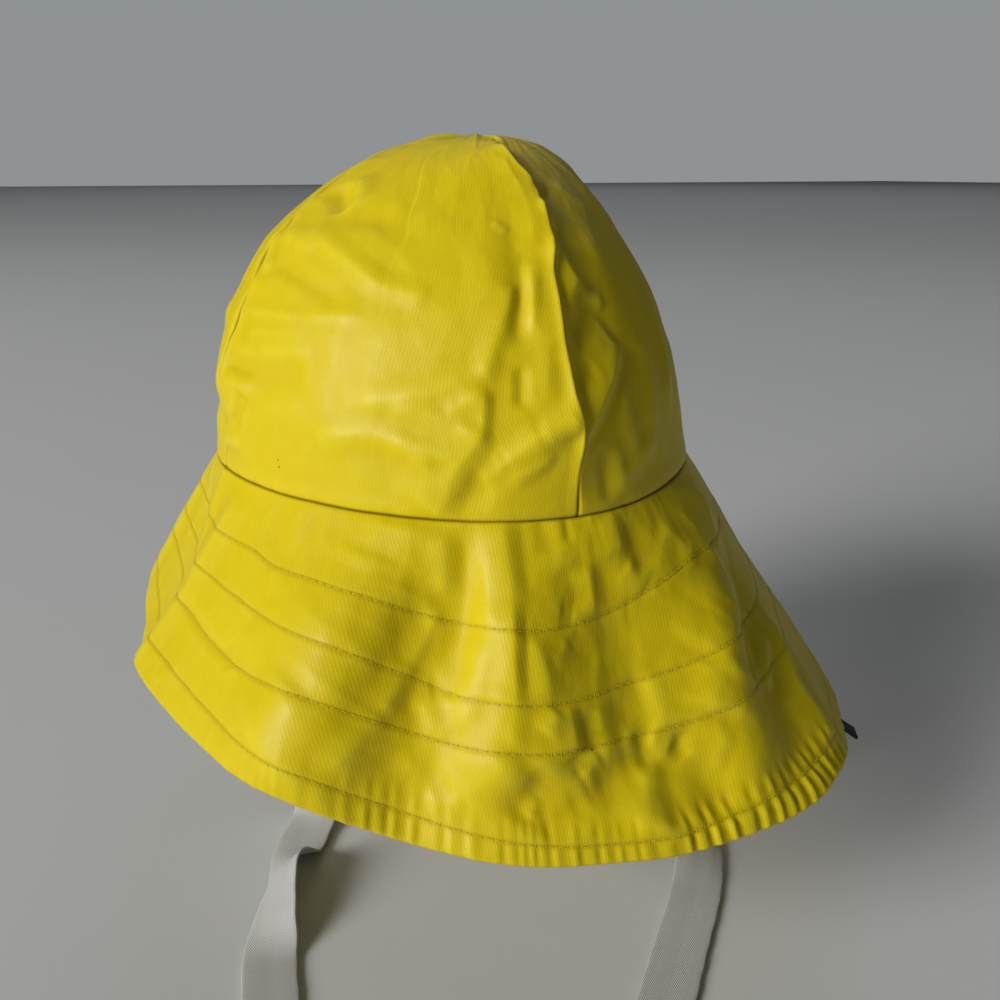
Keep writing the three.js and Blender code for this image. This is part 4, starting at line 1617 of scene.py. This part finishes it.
@dataclass
class Brim:
    """The ring of stitched cloth below the crown."""

    cloth: BrimCloth
    thickness: float = 0.0016
    hem_thickness: float = 0.0024
    turn_in: float = 0.006
    back_step: float = 0.34
    front_step: float = 1.0
    back_reach: float = 96.0
    near_rows: int = 6
    middle_rows: int = 105
    hem_rows: int = 16
    edge_rows: int = 6
    near_share: float = 0.025
    hem_share: float = 0.88
    stitch_line: float = 0.0006
    seam_line: float = 0.0005
    lip_drop: float = 0.0006

    def _azimuths(self) -> Array:
        """Columns, closer together on the back half."""
        edge = self.back_reach
        back = np.arange(-edge, edge, self.back_step)
        front = np.arange(edge, 360 - edge, self.front_step)
        return np.concatenate([back, front])

    def make(self, finishes: Sequence[bpy.types.Material]) -> list[bpy.types.Object]:
        """Builds the brim's two faces and puts them in the frame."""
        cloth = self.cloth
        across = self._azimuths()
        near = np.linspace(0, self.near_share, self.near_rows + 1)[:-1]
        middle = np.linspace(self.near_share, self.hem_share, self.middle_rows + 1)[:-1]
        down = np.concatenate([near, middle, np.linspace(self.hem_share, 1, self.hem_rows + 1)])
        azimuth, share = np.meshgrid(across, down, indexing="ij")
        relief = cloth.relief(azimuth, share)
        outer = cloth.surface(azimuth, share, relief)
        run = cloth.form.brim_run(azimuth)
        rows = cloth.rows(azimuth)
        beside = np.abs(share[..., None] - rows).min(-1) * run
        # The seam tag paints the coating darker along the rows of stitches and, stronger, along the seam
        # under the crown: painted shade.
        seam = 0.4 * np.exp(-((beside / self.stitch_line) ** 2))
        seam = seam + np.exp(-((share * run / self.seam_line) ** 2))
        tags = relief_tags(relief, np.clip(seam, 0, 1), True)
        cut = cloth.cut(azimuth, share)

        lengthways = unit(outer[:, -1] - outer[:, -3])
        sideways = unit(np.roll(outer[:, -1], -1, 0) - np.roll(outer[:, -1], 1, 0))
        out = unit(np.cross(sideways, lengthways))
        radius = self.hem_thickness / 2
        turn = np.linspace(0, np.pi, self.edge_rows + 1)[1:]
        roll = outer[:, -1:] + lengthways[:, None] * (np.sin(turn) * radius)[:, None]
        roll = roll - out[:, None] * ((1 - np.cos(turn)) * radius)[:, None]
        base_out = HatForm.normals(cloth.form.brim, azimuth, share, False)
        inwards = unit(base_out[:, :1] * np.array([1, 1, 0]))
        lip = outer[:, :1] - inwards * self.turn_in - np.array([0, 0, self.lip_drop])
        points = np.concatenate([lip, outer, roll], 1)
        cut, tags = (
            np.pad(grid, ((0, 0), (1, self.edge_rows), (0, 0)), mode="edge") for grid in (cut, tags)
        )
        top = ClothMesh()
        top.add_grid(points, cut, tags, closed=True)
        upper = top.build("brim_cloth", finishes[:1])

        under_share = share[::2, ::2]
        hem_share = rows[::2, ::2, 3]
        depth = np.where(under_share > hem_share, self.hem_thickness, self.thickness)
        under = outer[::2, ::2] - base_out[::2, ::2] * depth[..., None]
        under[:, -1] = roll[::2, -1]
        back = ClothMesh()
        back.add_grid(under, cloth.cut(azimuth[::2, ::2], under_share), closed=True, flip=True)
        lower = back.build("brim_underside", finishes[1:])
        for piece in (upper, lower):
            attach(piece, "root")
            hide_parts("brim")
        return [upper, lower]


@dataclass
class BrimStitching:
    """Four rows of thread, each stitch a short arc that dips into the cloth at both ends.

    A short bar of thread lies across the start of each stitch.
    """

    cloth: BrimCloth
    pitch: float = 0.0033
    length: float = 0.003
    knot_size: float = 0.0011
    thread: float = 0.00036
    sides: int = 5
    line_points: int = 4001
    shares: tuple[float, ...] = (0.0, 0.14, 0.5, 0.86, 1.0)
    lifts: tuple[float, ...] = (-0.9, 0.15, 0.35, 0.15, -0.9)
    sizes: tuple[float, ...] = (0.45, 0.92, 1.0, 0.92, 0.45)
    knot_sizes: tuple[float, ...] = (0.2, 0.4, 0.2)
    knot_lift: float = 0.2

    def _row(self, index: int) -> tuple[Array, Array, Array]:
        """Points, outward directions and travel of one row, a stitch to each first index.

        Args:
            index: Which of the four rows.

        Returns:
            Centre points, outward directions and directions along the row.
        """
        cloth = self.cloth
        azimuth = np.linspace(-180, 180, self.line_points)
        share = cloth.rows(azimuth)[:, index]
        line = cloth.surface(azimuth, share, cloth.relief(azimuth, share))
        travel = travel_along(line)
        count = int(travel[-1] / self.pitch)
        starts = np.arange(count) * travel[-1] / count
        at = np.interp(starts[:, None] + np.array(self.shares) * self.length, travel, azimuth)
        down = cloth.rows(at)[..., index]
        points = cloth.surface(at, down, cloth.relief(at, down))
        out = HatForm.normals(cloth.form.brim, at, down, False)
        return points, out, unit(points[:, -1:] - points[:, :1])

    @staticmethod
    def _ring(turn: Array, across: Array, out: Array) -> Array:
        """Directions round a thread, with the turn in the second axis."""
        cosine, sine = np.cos(turn)[None, :, None, None], np.sin(turn)[None, :, None, None]
        return cosine * across[:, None] + sine * out[:, None]

    def make(self, finish: bpy.types.Material) -> bpy.types.Object:
        """Builds all the stitches as one piece."""
        mesh = ClothMesh()
        lift, size = (np.array(values) * self.thread / 2 for values in (self.lifts, self.sizes))
        turn = np.linspace(0, 2 * np.pi, self.sides, endpoint=False)
        round_thread, along_stitch = turn[:, None] * self.thread / 2, np.array([self.shares]) * self.length
        cloth = np.stack(np.broadcast_arrays(round_thread, along_stitch), -1)
        reach = self.knot_size * np.array([-0.5, 0.0, 0.5])
        knot_size = (self.thread * np.array(self.knot_sizes))[:, None]
        for index in range(4):
            points, out, along = self._row(index)
            across = unit(np.cross(out, along))
            middle = points + out * lift[None, :, None]
            for tube in middle[:, None] + self._ring(turn, across, out) * size[None, None, :, None]:
                mesh.add_grid(tube, cloth, closed=True)
            start, first_out = points[:, :1], out[:, :1]
            knots = start + first_out * (self.knot_lift * self.thread) + across[:, :1] * reach[:, None]
            for tube in knots[:, None] + self._ring(turn, along, first_out) * knot_size:
                mesh.add_grid(tube, cloth[:, :3], closed=True)
        made = mesh.build("brim_stitching", [finish])
        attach(made, "root")
        return made


@dataclass
class Tape:
    """A flat woven tape with rounded edges along a route."""

    name: str
    route: Sequence[Stop]
    width: float
    thickness: float
    steps: int = 240
    flat_columns: int = 12
    look_ahead: float = 0.0005
    edge_band: float = 0.0014
    edge_swell: float = 0.18
    ripple_height: float = 0.00012
    ripple_run: float = 0.0021
    ripple_band: float = 0.001

    def line(self, count: int) -> tuple[Array, Array, Array]:
        """The centre line with its side and face directions.

        Args:
            count: Number of steps along it.

        Returns:
            Points, directions across the tape and directions out of its face.
        """
        stops = np.array([(stop.x, stop.y, stop.z) for stop in self.route])
        faces = np.array([stop.face for stop in self.route], float)
        knots = travel_along(stops)

        def sample(values: Array, at: Array) -> Array:
            """Smooth values along the route."""
            return np.stack([monotone(knots, values[:, i], at) for i in range(3)], -1)

        at = np.linspace(0, knots[-1], count + 1)
        points = sample(stops, at)
        ahead = sample(stops, np.minimum(at + self.look_ahead, knots[-1]))
        along = ahead - sample(stops, np.maximum(at - self.look_ahead, 0))
        across = unit(np.cross(along, sample(faces, at)))
        return points, across, unit(np.cross(across, along))

    def length(self) -> float:
        """Length of the centre line."""
        return float(travel_along(self.line(self.steps)[0])[-1])

    def build(self, finish: bpy.types.Material) -> bpy.types.Object:
        """Builds the tape as one closed skin."""
        points, across, facing = self.line(self.steps)
        half, thin = self.width / 2, self.thickness / 2
        flat = np.linspace(-1, 1, self.flat_columns + 1) * (half - thin)
        round_off = np.linspace(-np.pi / 2, np.pi / 2, 5)[1:-1]
        edge, level = half - thin + thin * np.cos(round_off), np.ones(len(flat))
        side = np.concatenate([flat, edge, flat[::-1], -edge])
        up = np.concatenate([level, -np.sin(round_off), -level, np.sin(round_off)]) * thin
        swell = 1 - self.edge_swell * (np.abs(side) < half - self.edge_band)
        travel = travel_along(points)
        at_edge = (np.abs(side) > half - self.ripple_band)[:, None]
        ripple = self.ripple_height * np.sin(travel / self.ripple_run)[None, :] * at_edge
        grid = (
            points[None]
            + across[None] * (side[:, None] + np.sign(side)[:, None] * ripple)[..., None]
            + facing[None] * (up * swell)[:, None, None]
        )
        cloth = np.stack(np.broadcast_arrays(side[:, None] + 0.02, travel[None]), -1)
        mesh = ClothMesh()
        mesh.add_grid(grid, cloth, closed=True)
        face_points = len(flat)
        upper = np.concatenate([np.arange(2, 4) + 2 * face_points + 2, np.arange(face_points + 2)])
        lower = np.arange(2 * face_points + 4, face_points, -1)
        for end in (0, -1):
            rim = np.stack([grid[upper, end], grid[lower, end]], 1)
            cut = np.stack([cloth[upper, end], cloth[lower, end]], 1)
            mesh.add_grid(rim, cut, flip=end == 0)
        return mesh.build(self.name + "_tape", [finish])

    def make(self, finish: bpy.types.Material, slot: str) -> bpy.types.Object:
        """Builds the tape and puts it in the frame in place of its CAD solid."""
        made = self.build(finish)
        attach(made, "root")
        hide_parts(self.name)
        return made


@dataclass
class Ties:
    """Two free tapes sewn inside the seam at the sides of the head opening."""

    form: HatForm
    width: float = 0.02
    thickness: float = 0.001
    clearance: float = 0.0003
    cloth: float = 0.0016

    def _sewn_end(self, side: int) -> Stop:
        """Where a tie leaves the seam, on the wearer's left for 1 and right for -1."""
        form = self.form
        sagitta = self.width**2 / 8 / (form.head_length**2 / 2 / form.head_width)
        inset = self.cloth + self.clearance + self.thickness / 2 + sagitta
        return Stop(side * (form.head_width / 2 - inset), 0.0, -self.clearance, (side, 0, 0))

    def make(self, finish: bpy.types.Material) -> list[bpy.types.Object]:
        made = []
        for name, side, route in (("tie_left", 1, LEFT_TIE_ROUTE), ("tie_right", -1, RIGHT_TIE_ROUTE)):
            tape = Tape(name, (self._sewn_end(side), *route), self.width, self.thickness)
            piece = tape.make(finish, "twill_tape")
            points = tape.line(tape.steps)[0]
            tape.length()
            made.append(piece)
        return made


@dataclass
class RimTab:
    """A short dark tape under the hem on the wearer's right that sticks out past the rim."""

    form: HatForm
    azimuth: float = -57.0
    width: float = 0.009
    thickness: float = 0.0014
    hem_thickness: float = 0.0024
    gap: float = 0.0003
    stitched: tuple[float, ...] = (0.84, 0.92, 0.985)
    free_end: tuple[tuple[float, float, float], ...] = (
        (0.003, 0.006, 0.3),
        (0.008, 0.013, 0.35),
        (0.015, 0.018, 0.7),
    )

    def make(self, finish: bpy.types.Material) -> bpy.types.Object:
        """Builds the tab along the brim's under face."""
        turn = math.radians(self.azimuth)
        outwards = np.array([math.sin(turn), math.cos(turn), 0.0])
        clear = self.hem_thickness + 3 * self.gap + self.thickness / 2
        stops = []
        for share in self.stitched:
            at = (np.array([self.azimuth]), np.array([share]))
            normal = HatForm.normals(self.form.brim, *at, False)[0]
            point = self.form.brim(*at)[0] - normal * clear
            stops.append(Stop(*point.tolist(), tuple(normal.tolist())))
        edge = np.array(stops[-1][:3])
        for out, down, lean in self.free_end:
            point = edge + outwards * out - np.array([0, 0, down])
            face = outwards * (1 - lean) + np.array([0, 0, lean])
            stops.append(Stop(*point.tolist(), tuple(face.tolist())))
        tape = Tape("rim_tab", stops, self.width, self.thickness, steps=70, flat_columns=8)
        return tape.make(finish, "dark_tape")


WARM_WHITE: Colour = (1.0, 0.99, 0.965)
COOL_WHITE: Colour = (0.95, 0.97, 1.0)


class Lamp(NamedTuple):
    """A square soft light, placed from the hat's centre as the camera sees it, in metres.

    It looks at the point this far ahead of the centre.
    """

    name: str
    left: float
    ahead: float
    up: float
    looks_ahead: float
    size: float
    watts: float
    colour: Colour


@dataclass
class Studio:
    """Pale floor, soft light from the upper left and a camera behind the hat."""

    floor_level: float = -0.1758
    floor_size: float = 40.0
    lens: float = 38.99
    camera_place: tuple[float, float, float] = (0.16572, 0.38313, 0.104)
    yaw: float = 26.0
    pitch: float = 17.0
    sky_light: float = 0.045
    sky_seen: float = 0.3
    sky: Colour = (0.93, 0.97, 1.0)
    lamps: tuple[Lamp, ...] = rows_of(
        Lamp,
        ("key", 5.35, -4.7, 2.7, 0, 3.2, 508, WARM_WHITE),
        ("floor_wash", 0, 11, 7, 11.01, 18, 190, COOL_WHITE),
        ("far", -0.5, 1.9, 2.6, 0, 2, 3, COOL_WHITE),
    )

    def _aim(self, made: bpy.types.Object, direction: Vector) -> None:
        """Turns a camera or light to look along a direction."""
        made.rotation_euler = direction.to_track_quat("-Z", "Y").to_euler()

    def camera(self) -> None:
        """Places the camera behind the hat, a little to the wearer's left, looking down at it."""
        data = bpy.data.cameras.new("camera")
        data.lens = self.lens
        data.sensor_width = 36.0
        data.clip_start = 0.01
        made = put_in_scene("camera", data)
        made.location = self.camera_place
        yaw, pitch = math.radians(self.yaw), math.radians(self.pitch)
        flat = Vector((-math.sin(yaw), -math.cos(yaw), 0)) * math.cos(pitch)
        self._aim(made, flat - Vector((0, 0, math.sin(pitch))))
        bpy.context.scene.camera = made

    def lights(self) -> None:
        """Adds a large window-like light at the upper left, weak fills and an even pale sky."""
        yaw = math.radians(self.yaw)
        ahead = Vector((-math.sin(yaw), -math.cos(yaw), 0))
        left = Vector((math.cos(yaw), -math.sin(yaw), 0))
        up = Vector((0, 0, 1))
        for lamp in self.lamps:
            data = bpy.data.lights.new(lamp.name, "AREA")
            data.shape = "SQUARE"
            data.size = lamp.size
            data.energy = lamp.watts
            data.color = lamp.colour
            made = put_in_scene(lamp.name, data)
            made.location = left * lamp.left + ahead * lamp.ahead + up * lamp.up
            self._aim(made, ahead * lamp.looks_ahead - made.location)
        world = bpy.data.worlds.new("sky")
        bpy.context.scene.world = world
        world.use_nodes = True
        sky = world.node_tree.nodes["Background"]
        sky.inputs["Color"].default_value = (*self.sky, 1.0)
        seen = world.node_tree.nodes.new("ShaderNodeLightPath")
        paler = world.node_tree.nodes.new("ShaderNodeMapRange")
        paler.inputs["To Min"].default_value = self.sky_light
        paler.inputs["To Max"].default_value = self.sky_seen
        world.node_tree.links.new(seen.outputs["Is Camera Ray"], paler.inputs["Value"])
        world.node_tree.links.new(paler.outputs["Result"], sky.inputs["Strength"])
        bpy.context.scene.view_settings.view_transform = "Standard"

    def floor(self, finish: bpy.types.Material) -> None:
        """Lays the floor just under the ties."""
        half = self.floor_size / 2
        corners = [(-half, -half, 0), (half, -half, 0), (half, half, 0), (-half, half, 0)]
        mesh = bpy.data.meshes.new("floor")
        mesh.from_pydata(corners, [], [(0, 1, 2, 3)])
        mesh.materials.append(finish)
        made = put_in_scene("floor", mesh)
        made.location.z = self.floor_level


def main() -> None:
    """Builds the studio and the hat's pieces in order."""
    logging.basicConfig(level=logging.INFO, format="%(name)s: %(message)s")
    form = HatForm()
    studio = Studio()
    studio.camera()
    for tie in Ties(form).make(TwillTape().make()):
        log.info("%s has %d faces", tie.name, len(tie.data.polygons))
    yellow, back = CoatedCotton().make(), CottonBack().make()
    crown = Crown(CrownCloth(form)).make([yellow, back])
    brim_cloth = BrimCloth(form)
    brim = Brim(brim_cloth).make([yellow, back])
    stitching = BrimStitching(brim_cloth).make(SewingThread().make())
    tab = RimTab(form).make(DarkTape().make())
    for piece in (*crown, *brim, stitching, tab):
        log.info("%s has %d faces", piece.name, len(piece.data.polygons))
    studio.floor(PaleFloor().make())
    studio.lights()


if __name__ == "__main__":
    main()
